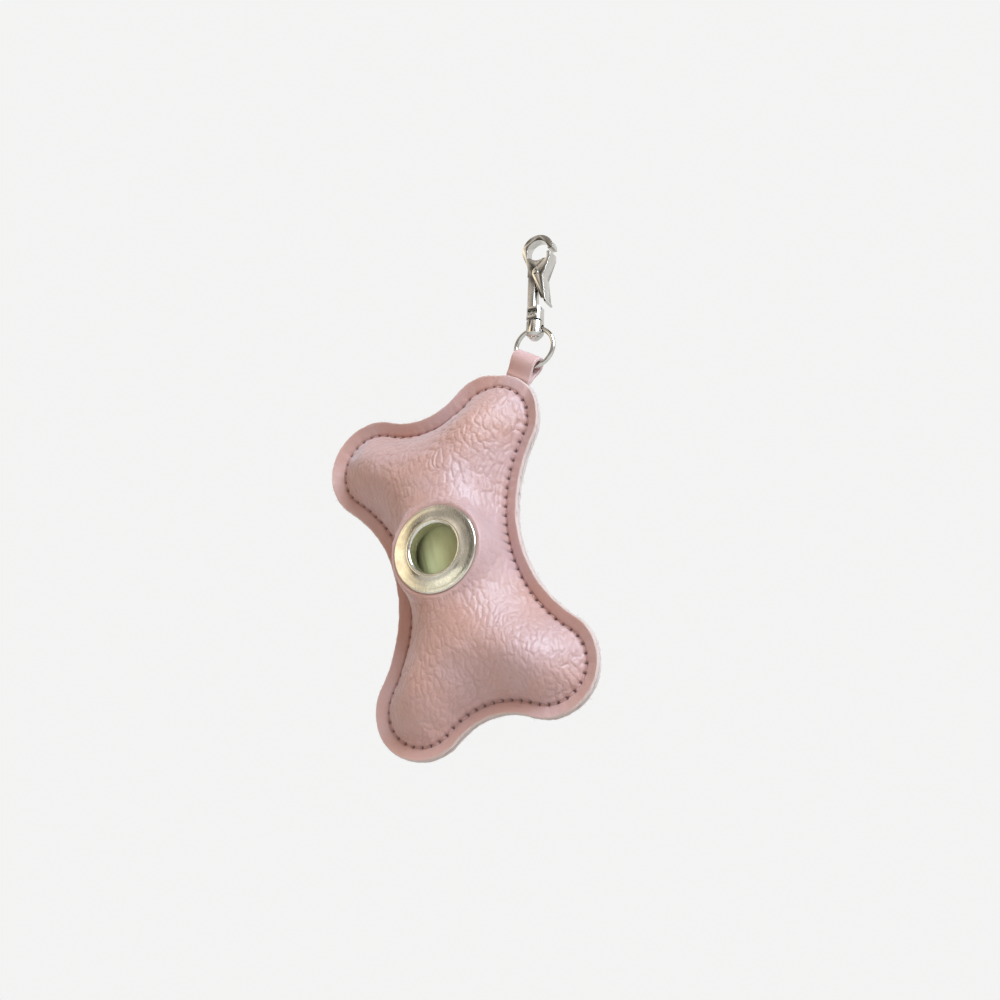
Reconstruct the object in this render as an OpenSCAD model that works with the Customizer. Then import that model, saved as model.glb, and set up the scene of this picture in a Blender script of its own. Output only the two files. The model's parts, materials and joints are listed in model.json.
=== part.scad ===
// Bone-shaped leather pouch for a roll of dog waste bags, hung from a swivel trigger snap.
// Millimetres. The origin is the middle of the snap's bow, where the dispenser hangs: +Z runs up
// along the bone, -Y is the front with the eyelet, and the strap leaves the upper +X lobe.

/* [Bag roll] */
// Diameter of a full roll
roll_d = 27; // [22:0.5:30]
// Length of the roll
roll_len = 58; // [50:1:64]
// Outside diameter of the cardboard core
core_d = 12; // [9:0.5:16]
// Wall of the core
core_wall = 1; // [0.6:0.1:1.6]

/* [Pouch] */
// Thickness of one layer of leather
leather_t = 1.6; // [1.2:0.1:2]
// Distance from the cut edge to the stitch line
seam_inset = 3.7; // [3:0.1:5]
// Radius of the four lobes at the cut edge
lobe_r = 14.5; // [13:0.25:16]
// Rise of the lobe centres above the end of the roll
lobe_rise = 7.5; // [6:0.5:10]
// Radius of the hollow at the top and bottom edge
notch_r = 20; // [16:1:26]
// Radius of the hollow at each side
waist_r = 40; // [34:1:50]
// Height of the stuffed lobes, seam plane to face
lobe_puff = 10.5; // [8:0.5:12]
// Room between the roll and the side walls
waist_ease = 0.7; // [0.5:0.1:2]

/* [Eyelet] */
// Diameter of the hole that the bags are drawn through
eyelet_hole_d = 14; // [11:0.5:16]
// Outside diameter of the flange
eyelet_flange_d = 25; // [23:0.5:27]
// Height of the rolled lip above the leather
eyelet_lip_h = 1.45; // [1.2:0.05:1.8]
// Thickness of the sheet metal
eyelet_sheet_t = 0.5; // [0.4:0.05:0.6]

/* [Zip] */
// Length of the chain of teeth
zip_len = 48; // [42:1:50]
// Pitch of the teeth on one side
tooth_pitch = 2.3; // [2.2:0.05:2.6]
// Thickness of a tooth through the tape
tooth_t = 2.3; // [2:0.1:2.6]
// Width of one tape
tape_w = 6.5; // [6:0.1:8]
// Width of the slot in the back panel
slot_w = 9; // [8.6:0.1:10]
// Length of the pull
pull_len = 19; // [14:0.5:24]
// Diameter of the hole in the pull's end
pull_hole_d = 2.4; // [1.6:0.1:2.8]

/* [Strap and ring] */
// Lean of the strap from the upright axis, degrees
strap_angle = 43; // [35:1:50]
// Width of the strap
strap_w = 8; // [6:0.5:8.5]
// Thickness of the strap's leather
strap_t = 1.1; // [0.9:0.1:1.4]
// Visible length of the strap
strap_len = 8.5; // [7:0.5:11]
// Outside diameter of the wire ring
ring_d = 13; // [12.5:0.5:16]
// Diameter of the ring's wire
ring_wire_d = 1.4; // [1.2:0.1:1.6]

/* [Snap hook] */
// Lean of the snap from the upright axis, degrees
hook_angle = 15; // [0:1:30]
// Diameter of the swivel barrel
barrel_d = 5.2; // [4.8:0.1:6]
// Width of the square bar at its foot
bar_w = 4.2; // [4.1:0.1:5]
// Length of the bar, foot to the throat of the bow
bar_len = 19; // [17:0.5:24]
// Inside diameter of the bow
bow_d = 6.4; // [6:0.2:8]
// Thickness of the bow's section
bow_t = 1.7; // [1.4:0.1:2]
// Diameter of the lever's pivot pin
pivot_d = 1; // [0.8:0.1:1.2]
// Thickness of the lever's sheet
lever_t = 0.6; // [0.5:0.05:0.7]
// Opening travel of the lever, degrees
lever_travel = 15; // [12:1:18]

/* [Hidden] */
overcut = 1;      // how far a cutter passes the face that it opens

// Clearances
run_gap = 0.05;   // a shaft in its hole, on the radius
roll_gap = 0.3;   // the roll to what carries it
slide_gap = 0.15; // the slider to the teeth and tapes

// ---- Stack through the middle of the pouch, from the roll outwards
roll_r = roll_d / 2;
roll_y = 0.6;                              // the roll sits this far behind the seam plane
washer_t = eyelet_sheet_t;
curl_h = eyelet_sheet_t;
front_h = roll_r - roll_y + roll_gap + curl_h + washer_t + leather_t;
slider_plate_t = 0.7;
tape_t = 0.6;
teeth_y0 = roll_y + roll_r + 0.2 + slider_plate_t + slide_gap;
teeth_y1 = teeth_y0 + tooth_t;
tape_y = (teeth_y0 + teeth_y1) / 2;
back_h = tape_y + tape_t / 2 + leather_t;

// ---- Outline of one quarter: waist arc, lobe arc and notch arc, each tangent to the next
waist_half = roll_r + waist_ease + leather_t + seam_inset;
lobe_z = roll_len / 2 + lobe_rise;
waist_cx = waist_half + waist_r;
lobe_x = waist_cx - sqrt(pow(waist_r + lobe_r, 2) - pow(lobe_z, 2));
notch_cz = lobe_z + sqrt(pow(notch_r + lobe_r, 2) - pow(lobe_x, 2));
waist_end = atan2(lobe_z, waist_cx - lobe_x);      // sweep of the half waist arc
notch_end = atan2(lobe_x, notch_cz - lobe_z);      // sweep of the half notch arc
lobe_from = -waist_end;
lobe_to = 90 + notch_end;

// Steps along each arc of a quarter, and the inward offsets of the outer rings
WAIST_N = 8;
LOBE_N = 10;
NOTCH_N = 6;
QUARTER_N = WAIST_N + LOBE_N + NOTCH_N;
ring_offsets = [0, 0.5, 1, 1.2, 1.5, 1.9];        // in units of the seam inset
seat_steps = 6;                                    // rings from the last offset to the flat seat
opening_steps = 2;                                 // and on to the opening

// A point of a quarter outline moved inwards by d
function quarter_pt(i, d) =
    i <= WAIST_N
        ? let (t = waist_end * i / WAIST_N)
          [waist_cx - (waist_r + d) * cos(t), (waist_r + d) * sin(t)]
    : i <= WAIST_N + LOBE_N
        ? let (t = lobe_from + (lobe_to - lobe_from) * (i - WAIST_N) / LOBE_N)
          [lobe_x + (lobe_r - d) * cos(t), lobe_z + (lobe_r - d) * sin(t)]
        : let (t = notch_end * (QUARTER_N - i) / NOTCH_N)
          [(notch_r + d) * sin(t), notch_cz - (notch_r + d) * cos(t)];

// A round opening and the zip's slot, as quarter outlines with the same count of points
function circle_pt(i, r) =
    let (t = 90 * i / QUARTER_N) [r * cos(t), r * sin(t)];
function slot_pt(i, w, l, c) =
    i <= WAIST_N ? [w, (l - c) * i / WAIST_N]
    : i <= WAIST_N + LOBE_N
        ? let (t = 90 * (i - WAIST_N) / LOBE_N) [w - c + c * cos(t), l - c + c * sin(t)]
        : [(w - c) * (QUARTER_N - i) / NOTCH_N, l];

// A whole closed ring, counter-clockwise seen from -Y, from a quarter's list of points
function mirrored(q) = concat(
    [for (i = [0 : QUARTER_N]) q[i]],
    [for (i = [QUARTER_N - 1 : -1 : 0]) [-q[i][0], q[i][1]]],
    [for (i = [1 : QUARTER_N]) [-q[i][0], -q[i][1]]],
    [for (i = [QUARTER_N - 1 : -1 : 1]) [q[i][0], -q[i][1]]]);
RING_N = 4 * QUARTER_N;

// ---- Height of the stuffed leather over the seam plane
function clamp01(v) = max(0, min(1, v));
function smooth(v) = let (t = clamp01(v)) t * t * (3 - 2 * t);
// Distance to the cut edge at a point
function edge_dist(p) =
    let (x = abs(p[0]), z = abs(p[1]))
    let (t = atan2(z - lobe_z, x - lobe_x))
    (t >= lobe_from && t <= lobe_to) ? lobe_r - norm([x - lobe_x, z - lobe_z])
    : min(norm([x - waist_cx, z]) - waist_r, norm([x, z - notch_cz]) - notch_r);

// The dome rises to its full height within this inward run. Beside the roll it is steep, on the
// lobes softer, and past the roll's ends, between the lobes, long and flat.
side_run = 10;
end_run = 15;
function past_end(p) =
    smooth((lobe_x - abs(p[0])) / 10) * smooth((abs(p[1]) - roll_len / 2 + 7) / 12);
function dome(p, start) =
    let (ends = past_end(p))
    let (s = clamp01((edge_dist(p) - start) / mix(side_run, end_run, ends)))
    let (soft = mix(mix(0.6, 0.74, smooth((abs(p[1]) - 14) / 14)), 0.85, ends))
    pow(1 - pow(1 - s, 2.2), soft);
function over_roll(p) =
    smooth((roll_r + 14 - abs(p[0])) / 19)
    * smooth((roll_len / 2 + 20 - abs(p[1])) / 20);
// Flat seats: under the eyelet's flange, and along the zip
flange_r = eyelet_flange_d / 2;
seat_stretch = 0.62;   // the seat fades more slowly along the bone than across it
function flange_seat(p, ease) =
    smooth((flange_r + ease - norm([p[0], seat_stretch * p[1]])) / (ease - 0.2));
bead_x = 0.95;                             // inner edge of a tape
teeth_n = floor(zip_len / tooth_pitch);
teeth_z0 = -teeth_n * tooth_pitch / 2;
teeth_z1 = teeth_z0 + teeth_n * tooth_pitch;
slider_len = 8;
slider_top = teeth_z1 + 3;                 // the wedge stays clear of the last tooth
stop_h = 2;
slot_end = slider_top + 0.2 + stop_h + 0.6;
tape_end = slot_end + 2.4;
zip_seat_x = bead_x + tape_w + 0.6;
zip_seat_z = tape_end + 1.4;
function zip_seat(p, ease) =
    let (q = norm([max(0, abs(p[0]) - zip_seat_x), 0.8 * max(0, abs(p[1]) - zip_seat_z)]))
    smooth((ease - q) / ease);
function mix(a, b, t) = a + (b - a) * t;

// layer 0 is the grain side, layer 1 the flesh side
function front_height(p, layer) =
    let (full = front_h - layer * leather_t, lobe = lobe_puff - layer * leather_t)
    let (base = layer == 0 ? leather_t : 0)
    let (rise = dome(p, seam_inset + layer * 0.8 * leather_t))
    let (h = base + rise * (mix(lobe, full, over_roll(p)) - base))
    mix(h, full, flange_seat(p, 3.7 - 0.5 * layer));
function back_height(p, layer) =
    let (full = back_h - layer * leather_t, lobe = lobe_puff - layer * leather_t)
    let (base = layer == 0 ? leather_t : 0)
    let (rise = dome(p, seam_inset + layer * 0.8 * leather_t))
    let (h = base + rise * (mix(lobe, full, over_roll(p)) - base))
    mix(h, full, zip_seat(p, 7.5 - layer));

// The rings of one panel in plan, from the cut edge over the flat seat to the opening
function between(a, b, steps) = [for (k = [1 : steps])
    mirrored([for (i = [0 : QUARTER_N]) mix(a[i], b[i], k / steps)])];
function plan_rings(seat, opening) =
    let (outer = [for (k = ring_offsets)
        [for (i = [0 : QUARTER_N]) quarter_pt(i, k * seam_inset)]])
    let (last = outer[len(outer) - 1])
    concat(
        [for (r = outer) mirrored(r)],
        between(last, seat, seat_steps),
        between(seat, opening, opening_steps));

// A closed sheet of leather from its plan rings and its two lists of heights
module leather_sheet(rings, grain, flesh, side) {
    n = len(rings);
    pts = concat(
        [for (k = [0 : n - 1]) for (i = [0 : RING_N - 1])
            [rings[k][i][0], side * grain[k][i], rings[k][i][1]]],
        [for (k = [0 : n - 1]) for (i = [0 : RING_N - 1])
            [rings[k][i][0], side * flesh[k][i], rings[k][i][1]]]);
    function at(layer, k, i) = (layer * n + k) * RING_N + (i % RING_N);
    // two triangles, split along the shorter diagonal
    function quad(a, b, c, d) =
        let (split = norm(pts[a] - pts[c]) <= norm(pts[b] - pts[d])
            ? [[a, b, c], [a, c, d]] : [[a, b, d], [b, c, d]])
        side < 0 ? split : [for (t = split) [t[2], t[1], t[0]]];
    faces = concat(
        [for (k = [0 : n - 2]) for (i = [0 : RING_N - 1])
            each quad(at(0, k, i), at(0, k + 1, i), at(0, k + 1, i + 1), at(0, k, i + 1))],
        [for (k = [0 : n - 2]) for (i = [0 : RING_N - 1])
            each quad(at(1, k, i), at(1, k, i + 1), at(1, k + 1, i + 1), at(1, k + 1, i))],
        [for (i = [0 : RING_N - 1])
            each quad(at(0, 0, i), at(0, 0, i + 1), at(1, 0, i + 1), at(1, 0, i))],
        [for (i = [0 : RING_N - 1])
            each quad(at(0, n - 1, i), at(1, n - 1, i), at(1, n - 1, i + 1), at(0, n - 1, i + 1))]);
    polyhedron(pts, faces, convexity = 6);
}

// ---- Strap, ring and snap: places
function along(angle, s) = [s * sin(angle), 0, s * cos(angle)];
ring_wire_r = ring_wire_d / 2;
ring_r = ring_d / 2 - ring_wire_r;                 // centre line of the wire
// A straight eye of width w holds the curved wire at any swing: its radius, and how far
// its axis lies from the ring's centre
function ring_near(w) = sqrt(pow(ring_r - ring_wire_r, 2) - pow(w / 2, 2));
function eye_radius(w) = (ring_d / 2 - ring_near(w)) / 2 + run_gap;
function eye_place(w) = (ring_d / 2 + ring_near(w)) / 2;
eye_r = eye_radius(strap_w);
eye_s = strap_len - strap_t - eye_r;               // eye centre beyond the cut edge
lobe_c = [lobe_x, 0, lobe_z];
strap_base = lobe_c + along(strap_angle, lobe_r);
eye_c = strap_base + along(strap_angle, eye_s);
ring_c = eye_c + along(strap_angle, eye_place(strap_w));
tail_t = 0.5;                                      // each skived layer inside the seam
tail_in = 6;                                       // how far the tail reaches inside the edge

barrel_hole_r = eye_radius(barrel_d);
barrel_hole_s = eye_place(barrel_d);
barrel_wall = 1.35;
barrel_s0 = barrel_hole_s - barrel_hole_r - barrel_wall;
barrel_s1 = barrel_hole_s + barrel_hole_r + barrel_wall;
foot_s = barrel_s1 + 0.2;                          // underside of the snap's foot
rivet_r = 1.1;
rivet_head_r = 1.45;
rivet_head_h = 0.8;
floor_t = 1.2;
window_h = rivet_head_h + 0.7;
foot_h = floor_t + window_h + 1.3;
window_w = 2 * rivet_head_r + 0.3;
throat_s = foot_s + bar_len;
bow_r = bow_d / 2;
bow_s = throat_s + 0.9 * bow_r;
bow_x = 0.9;                                       // bow centre, towards the lever side
bar_y = 3.1;                                       // thickness of the bar where the lever straddles
bar_x = 0.5;                                       // the bar's face under the lever
ear_x = bar_x + 0.3;
pivot_s = throat_s - 4.6;
pivot_r = pivot_d / 2;
ear_r = pivot_r + 0.9;
lever_top_s = bow_s - 0.35 * bow_r;
lever_foot_s = foot_s + foot_h + 0.8;
lever_y = bar_y / 2 + 0.15;                        // inner face of the lever's cheeks
spring_wire_r = 0.16;
spring_coil_r = pivot_r + spring_wire_r + 0.12;
spring_room = spring_coil_r + spring_wire_r + 0.2; // radius of the slot that holds the coil
spring_slot = 1.4;

hang_point = ring_c + along(hook_angle, bow_s) + along(hook_angle + 90, bow_x);

// Places: the pouch, and local frames with s along the piece, x across it, y through it
module on_pouch() {
    translate(-hang_point) children();
}
module on_strap() {
    translate(strap_base - hang_point) rotate([0, strap_angle, 0]) children();
}
module on_snap() {
    translate(ring_c - hang_point) rotate([0, hook_angle, 0]) children();
}
// An extrusion through y, of a shape drawn in x and s
module through(width) {
    rotate([90, 0, 0]) linear_extrude(width, center = true) children();
}

// ---- Leather
module strap_pocket() {
    on_strap()
        translate([-strap_w / 2 - 0.05, -tail_t, -tail_in - 0.05])
            cube([strap_w + 0.1, 2 * tail_t, tail_in + 4]);
}

module front_panel() {
    seat = [for (i = [0 : QUARTER_N]) circle_pt(i, flange_r - 0.8)];
    opening = [for (i = [0 : QUARTER_N]) circle_pt(i, eyelet_hole_d / 2 + eyelet_sheet_t + 0.1)];
    rings = plan_rings(seat, opening);
    color([0.73, 0.56, 0.52]) difference() {
        on_pouch() leather_sheet(
            rings,
            [for (r = rings) [for (p = r) front_height(p, 0)]],
            [for (r = rings) [for (p = r) front_height(p, 1)]],
            -1);
        strap_pocket();
    }
}

module back_panel() {
    seat = [for (i = [0 : QUARTER_N]) slot_pt(i, zip_seat_x, zip_seat_z, 3)];
    opening = [for (i = [0 : QUARTER_N]) slot_pt(i, slot_w / 2, slot_end, 2)];
    rings = plan_rings(seat, opening);
    color([0.73, 0.56, 0.52]) difference() {
        on_pouch() leather_sheet(
            rings,
            [for (r = rings) [for (p = r) back_height(p, 0)]],
            [for (r = rings) [for (p = r) back_height(p, 1)]],
            1);
        strap_pocket();
    }
}

// One strip folded over the ring: a teardrop with a round eye, and a skived tail in the seam
module hanging_strap() {
    fold_r = eye_r + strap_t;
    foot = 0.3;                                            // the flat sides start here
    touch = acos((fold_r - strap_t) / (eye_s - foot));      // where the flat sides meet the fold
    color([0.75, 0.59, 0.55]) on_strap() {
        rotate([90, 0, 90]) linear_extrude(strap_w, center = true) difference() {
            union() {
                translate([0, eye_s]) circle(fold_r, $fn = 48);
                polygon([
                    [-strap_t, foot], [strap_t, foot],
                    [fold_r * sin(touch), eye_s - fold_r * cos(touch)],
                    [-fold_r * sin(touch), eye_s - fold_r * cos(touch)]]);
            }
            translate([0, eye_s]) circle(eye_r, $fn = 48);
        }
        translate([-strap_w / 2, -tail_t, -tail_in]) cube([strap_w, 2 * tail_t, tail_in + foot + 0.1]);
    }
}

// ---- Eyelet: a rolled flange and barrel, riveted over a washer behind the leather
module eyelet() {
    hole_r = eyelet_hole_d / 2;
    crest_r = 0.9;
    crest = [hole_r + crest_r, front_h + eyelet_lip_h - crest_r];
    behind = front_h - leather_t - washer_t;
    color("silver") on_pouch() rotate([90, 0, 0]) rotate_extrude($fn = 96) polygon(concat(
        [for (t = [180 : -15 : 60]) crest + crest_r * [cos(t), sin(t)]],
        [[flange_r - 0.5, front_h + 0.55], [flange_r - 0.1, front_h + 0.3], [flange_r, front_h]],
        [[flange_r - 0.6, front_h], [flange_r - 0.8, front_h + 0.12]],
        [for (t = [60 : 15 : 180]) crest + (crest_r - eyelet_sheet_t) * [cos(t), sin(t)]],
        [[hole_r + eyelet_sheet_t, behind]],
        [for (t = [0 : -30 : -180])
            [hole_r + 0.7 + 0.7 * cos(t), behind + curl_h * sin(t)]]));
}

module eyelet_washer() {
    in_r = eyelet_hole_d / 2 + eyelet_sheet_t + 0.05;
    out_r = flange_r - 1.4;
    top = front_h - leather_t;
    color("silver") on_pouch() rotate([90, 0, 0]) translate([0, 0, top - washer_t]) difference() {
        cylinder(h = washer_t, r = out_r, $fn = 96);
        translate([0, 0, -1]) cylinder(h = washer_t + 2, r = in_r, $fn = 96);
    }
}

// ---- Zip down the back
tooth_w = 2.1;     // reach of a tooth from the middle line over the tape
head_w = 0.75;     // reach of its head past the middle line

module zip_tape(side) {
    color([0.66, 0.5, 0.47]) on_pouch()
        translate([side > 0 ? bead_x : -bead_x - tape_w, tape_y - tape_t / 2, -tape_end])
            cube([tape_w, tape_t, 2 * tape_end]);
}
module zip_tape_left() { zip_tape(-1); }
module zip_tape_right() { zip_tape(1); }

// A tooth: legs over the tape, a narrow neck and a rounded head, hollowed for its neighbour
module tooth(side) {
    half = tooth_pitch / 4 - 0.06;
    difference() {
        rotate([90, 0, 0]) linear_extrude(tooth_t, center = true) scale([side, 1]) polygon([
            [tooth_w, -half * 1.5], [tooth_w, half * 1.5], [bead_x - 0.15, half * 1.5],
            [0.25, half * 0.8], [-head_w * 0.6, half], [-head_w, half * 0.5],
            [-head_w, -half * 0.5], [-head_w * 0.6, -half], [0.25, -half * 0.8],
            [bead_x - 0.15, -half * 1.5]]);
        translate([side > 0 ? bead_x : -bead_x - tooth_w, -tape_t / 2, -tooth_pitch])
            cube([tooth_w, tape_t, 2 * tooth_pitch]);
    }
}
module zip_teeth(side, shift) {
    color("silver") on_pouch() for (k = [0 : teeth_n - 1])
        translate([0, tape_y, teeth_z0 + (k + shift) * tooth_pitch]) tooth(side);
}
module zip_teeth_left() { zip_teeth(-1, 0.25); }
module zip_teeth_right() { zip_teeth(1, 0.75); }

module tape_clip(x0, x1, z0, h) {
    difference() {
        translate([x0, teeth_y0 + 0.3, z0]) cube([x1 - x0, tooth_t - 0.6, h]);
        for (side = [-1, 1])
            translate([side > 0 ? bead_x : -bead_x - tape_w, tape_y - tape_t / 2, z0 - 1])
                cube([tape_w, tape_t, h + 2]);
    }
}
module zip_top_stops() {
    color("silver") on_pouch() {
        tape_clip(bead_x - 0.2, tooth_w, slider_top + 0.2, stop_h);
        tape_clip(-tooth_w, -bead_x + 0.2, slider_top + 0.2, stop_h);
    }
}
module zip_bottom_stop() {
    color("silver") on_pouch() tape_clip(-tooth_w, tooth_w, teeth_z0 - 0.4 - stop_h, stop_h);
}

// Two plates with side lips, joined by the wedge that parts the teeth, and a lug for the pull
slider_half = tooth_w + slide_gap + 0.75;
plate_out_y = teeth_y1 + slide_gap;
lug_r = 1.1;
lug_y = plate_out_y + slider_plate_t + 1.3;
lug_z = slider_top - 3.6;
module slider_plan() {
    polygon([
        [-slider_half + 0.5, 0], [slider_half - 0.5, 0], [slider_half, 1],
        [slider_half, slider_len - 2], [slider_half - 1.2, slider_len],
        [-slider_half + 1.2, slider_len], [-slider_half, slider_len - 2], [-slider_half, 1]]);
}
module zip_slider() {
    lip_gap = tape_t / 2 + slide_gap;
    lip_in = tooth_w + slide_gap;
    color("silver") on_pouch() translate([0, 0, slider_top - slider_len]) {
        for (y = [plate_out_y, teeth_y0 - slide_gap - slider_plate_t])
            translate([0, y + slider_plate_t, 0]) rotate([90, 0, 0])
                linear_extrude(slider_plate_t) slider_plan();
        for (side = [-1, 1]) {
            x = side > 0 ? lip_in : -slider_half;
            translate([x, tape_y + lip_gap, 1])
                cube([slider_half - lip_in, plate_out_y - tape_y - lip_gap + 0.1, slider_len - 3]);
            translate([x, teeth_y0 - slide_gap - 0.1, 1])
                cube([slider_half - lip_in, tape_y - lip_gap - teeth_y0 + slide_gap + 0.1,
                    slider_len - 3]);
        }
        // wedge between the parted teeth
        translate([0, teeth_y1 + slide_gap + 0.1, 0]) rotate([90, 0, 0])
            linear_extrude(tooth_t + 2 * slide_gap + 0.2)
                polygon([[0, slider_len - 2.6], [0.75, slider_len - 0.9], [0.75, slider_len - 0.3],
                    [-0.75, slider_len - 0.3], [-0.75, slider_len - 0.9]]);
    }
    // lug: two feet and a bridge that the pull's eye turns on
    color("silver") on_pouch() {
        translate([-1.6, plate_out_y + slider_plate_t - 0.1, lug_z - 0.55])
            cube([0.7, lug_y - plate_out_y - slider_plate_t + 0.65, 1.1]);
        translate([0.9, plate_out_y + slider_plate_t - 0.1, lug_z - 0.55])
            cube([0.7, lug_y - plate_out_y - slider_plate_t + 0.65, 1.1]);
        translate([-1.3, lug_y, lug_z]) rotate([0, 90, 0]) cylinder(h = 2.6, r = 0.4, $fn = 32);
    }
}

// The pull hangs from the lug: an eye, a waisted shank and a rounded plate with a hole
module zip_pull() {
    pull_t = 0.9;
    end_r = 2;
    color("silver") on_pouch() {
        translate([0, lug_y, lug_z]) rotate([0, 90, 0]) difference() {
            cylinder(h = 1.6, r = lug_r, center = true, $fn = 48);
            cylinder(h = 4, r = 0.4 + run_gap, center = true, $fn = 48);
        }
        translate([0, lug_y, lug_z]) rotate([90, 0, 0])
            linear_extrude(pull_t, center = true) difference() {
                union() {
                    translate([-0.8, -3.4]) square([1.6, 3.4 - 0.8]);
                    polygon([[-0.8, -3], [0.8, -3], [end_r, -6], [end_r, end_r - pull_len],
                        [-end_r, end_r - pull_len], [-end_r, -6]]);
                    translate([0, end_r - pull_len]) circle(end_r, $fn = 48);
                }
                translate([0, end_r - pull_len]) circle(pull_hole_d / 2, $fn = 48);
            }
    }
}

// ---- Bag roll
module bag_roll() {
    color([0.67, 0.69, 0.46]) on_pouch() translate([0, roll_y, -roll_len / 2]) difference() {
        cylinder(h = roll_len, r = roll_r, $fn = 96);
        translate([0, 0, -1]) cylinder(h = roll_len + 2, r = core_d / 2, $fn = 64);
    }
}
module roll_core() {
    color([0.72, 0.6, 0.44]) on_pouch() translate([0, roll_y, -roll_len / 2]) difference() {
        cylinder(h = roll_len, r = core_d / 2, $fn = 64);
        translate([0, 0, -1]) cylinder(h = roll_len + 2, r = core_d / 2 - core_wall, $fn = 64);
    }
}

// ---- Ring and swivel
module swivel_ring() {
    color("silver") translate(ring_c - hang_point) rotate([90, 0, 0])
        rotate_extrude($fn = 96) translate([ring_r, 0]) circle(ring_wire_r, $fn = 32);
}

// A turned barrel with a cross hole for the ring and a domed end inside it
module swivel_barrel() {
    r = barrel_d / 2;
    color("silver") on_snap() difference() {
        union() {
            translate([0, 0, barrel_s0]) rotate_extrude($fn = 64) polygon([
                [0, 0], [r - 0.9, 0], [r - 0.45, 0.35], [r, 1], [r, barrel_s1 - barrel_s0 - 0.4],
                [r - 0.4, barrel_s1 - barrel_s0], [0, barrel_s1 - barrel_s0]]);
            translate([0, 0, barrel_s0 - 0.7])
                rotate_extrude($fn = 48) polygon([[0, 0], [1, 0], [1.5, 0.35], [1.5, 0.8], [0, 0.8]]);
        }
        translate([0, 0, barrel_hole_s]) rotate([0, 90, 0])
            cylinder(h = barrel_d + 2, r = barrel_hole_r, center = true, $fn = 48);
        translate([0, 0, barrel_s1 - 1]) cylinder(h = 2, r = rivet_r - 0.2, $fn = 48);
    }
}
// Rivet: fixed in the barrel, free in the foot of the snap, its head in the window
module swivel_rivet() {
    head_s = foot_s + floor_t + 0.1;
    color("silver") on_snap() {
        translate([0, 0, barrel_s1 - 1]) cylinder(h = 1, r = rivet_r - 0.2, $fn = 48);
        translate([0, 0, barrel_s1]) cylinder(h = head_s - barrel_s1, r = rivet_r, $fn = 48);
        translate([0, 0, head_s]) cylinder(h = rivet_head_h, r = rivet_head_r, $fn = 48);
    }
}

// ---- Snap hook
// Square-section solid with bevelled corners, between two levels
module bevelled_bar(x0, x1, y, s0, s1, bevel) {
    translate([0, 0, s0]) linear_extrude(s1 - s0) polygon([
        [x0 + bevel, -y / 2], [x1 - bevel, -y / 2], [x1, bevel - y / 2], [x1, y / 2 - bevel],
        [x1 - bevel, y / 2], [x0 + bevel, y / 2], [x0, y / 2 - bevel], [x0, bevel - y / 2]]);
}

module hook_body() {
    spine_x0 = bow_x - bow_r - bow_t;
    head_x = bow_x + bow_r - 0.6;                          // the head's side under the mouth
    head_foot = throat_s - 3;                              // where the bar starts to widen
    collar_s = pivot_s - 0.8;
    cut_w = 2 * (bow_r + bow_t + overcut);
    color("silver") on_snap() difference() {
        union() {
            // foot with the swivel window
            bevelled_bar(-bar_w / 2, bar_w / 2, bar_w, foot_s, foot_s + foot_h, 0.6);
            // slender bar, and the head that it widens into
            bevelled_bar(-bar_w / 2, bar_x, bar_y, foot_s + foot_h - 0.1, throat_s - 1, 0.35);
            through(bar_y) polygon(concat(
                [[-bar_w / 2, collar_s], [ear_x + ear_r - 0.5, collar_s],
                    [ear_x + ear_r - 0.5, throat_s - 1.2], [head_x, throat_s - 0.6],
                    [head_x, throat_s], [bow_x - bow_r, throat_s + 0.8], [bow_x - bow_r, bow_s]],
                [for (t = [0 : 0.125 : 1])
                    [mix(spine_x0, -bar_w / 2, smooth(t)), mix(bow_s, head_foot, t)]]));
            // ear round the pivot
            translate([ear_x, 0, pivot_s]) rotate([90, 0, 0])
                cylinder(h = bar_y, r = ear_r, center = true, $fn = 48);
            // bow, open on the lever's side below the nose
            translate([bow_x, 0, bow_s]) rotate([90, 0, 0]) difference() {
                cylinder(h = bar_y, r = bow_r + bow_t, center = true, $fn = 96);
                translate([0, -cut_w / 2, 0])
                    cube([cut_w, cut_w, bar_y + 2 * overcut], center = true);
            }
        }
        // inside of the bow
        translate([bow_x, 0, bow_s]) rotate([90, 0, 0])
            cylinder(h = bar_y + 2 * overcut, r = bow_r, center = true, $fn = 96);
        // swivel hole and window
        translate([0, 0, foot_s - overcut])
            cylinder(h = floor_t + 2 * overcut, r = rivet_r + run_gap, $fn = 48);
        translate([-window_w / 2, -bar_w, foot_s + floor_t]) cube([window_w, 2 * bar_w, window_h]);
        // pivot bore and the slot for the spring's coil
        translate([ear_x, 0, pivot_s]) rotate([90, 0, 0])
            cylinder(h = bar_y + 2 * overcut, r = pivot_r + run_gap, center = true, $fn = 48);
        translate([ear_x - spring_room, -spring_slot / 2, pivot_s - ear_r - 0.3])
            cube([bar_w, spring_slot, ear_r + 0.3 + spring_room]);
    }
}

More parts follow.
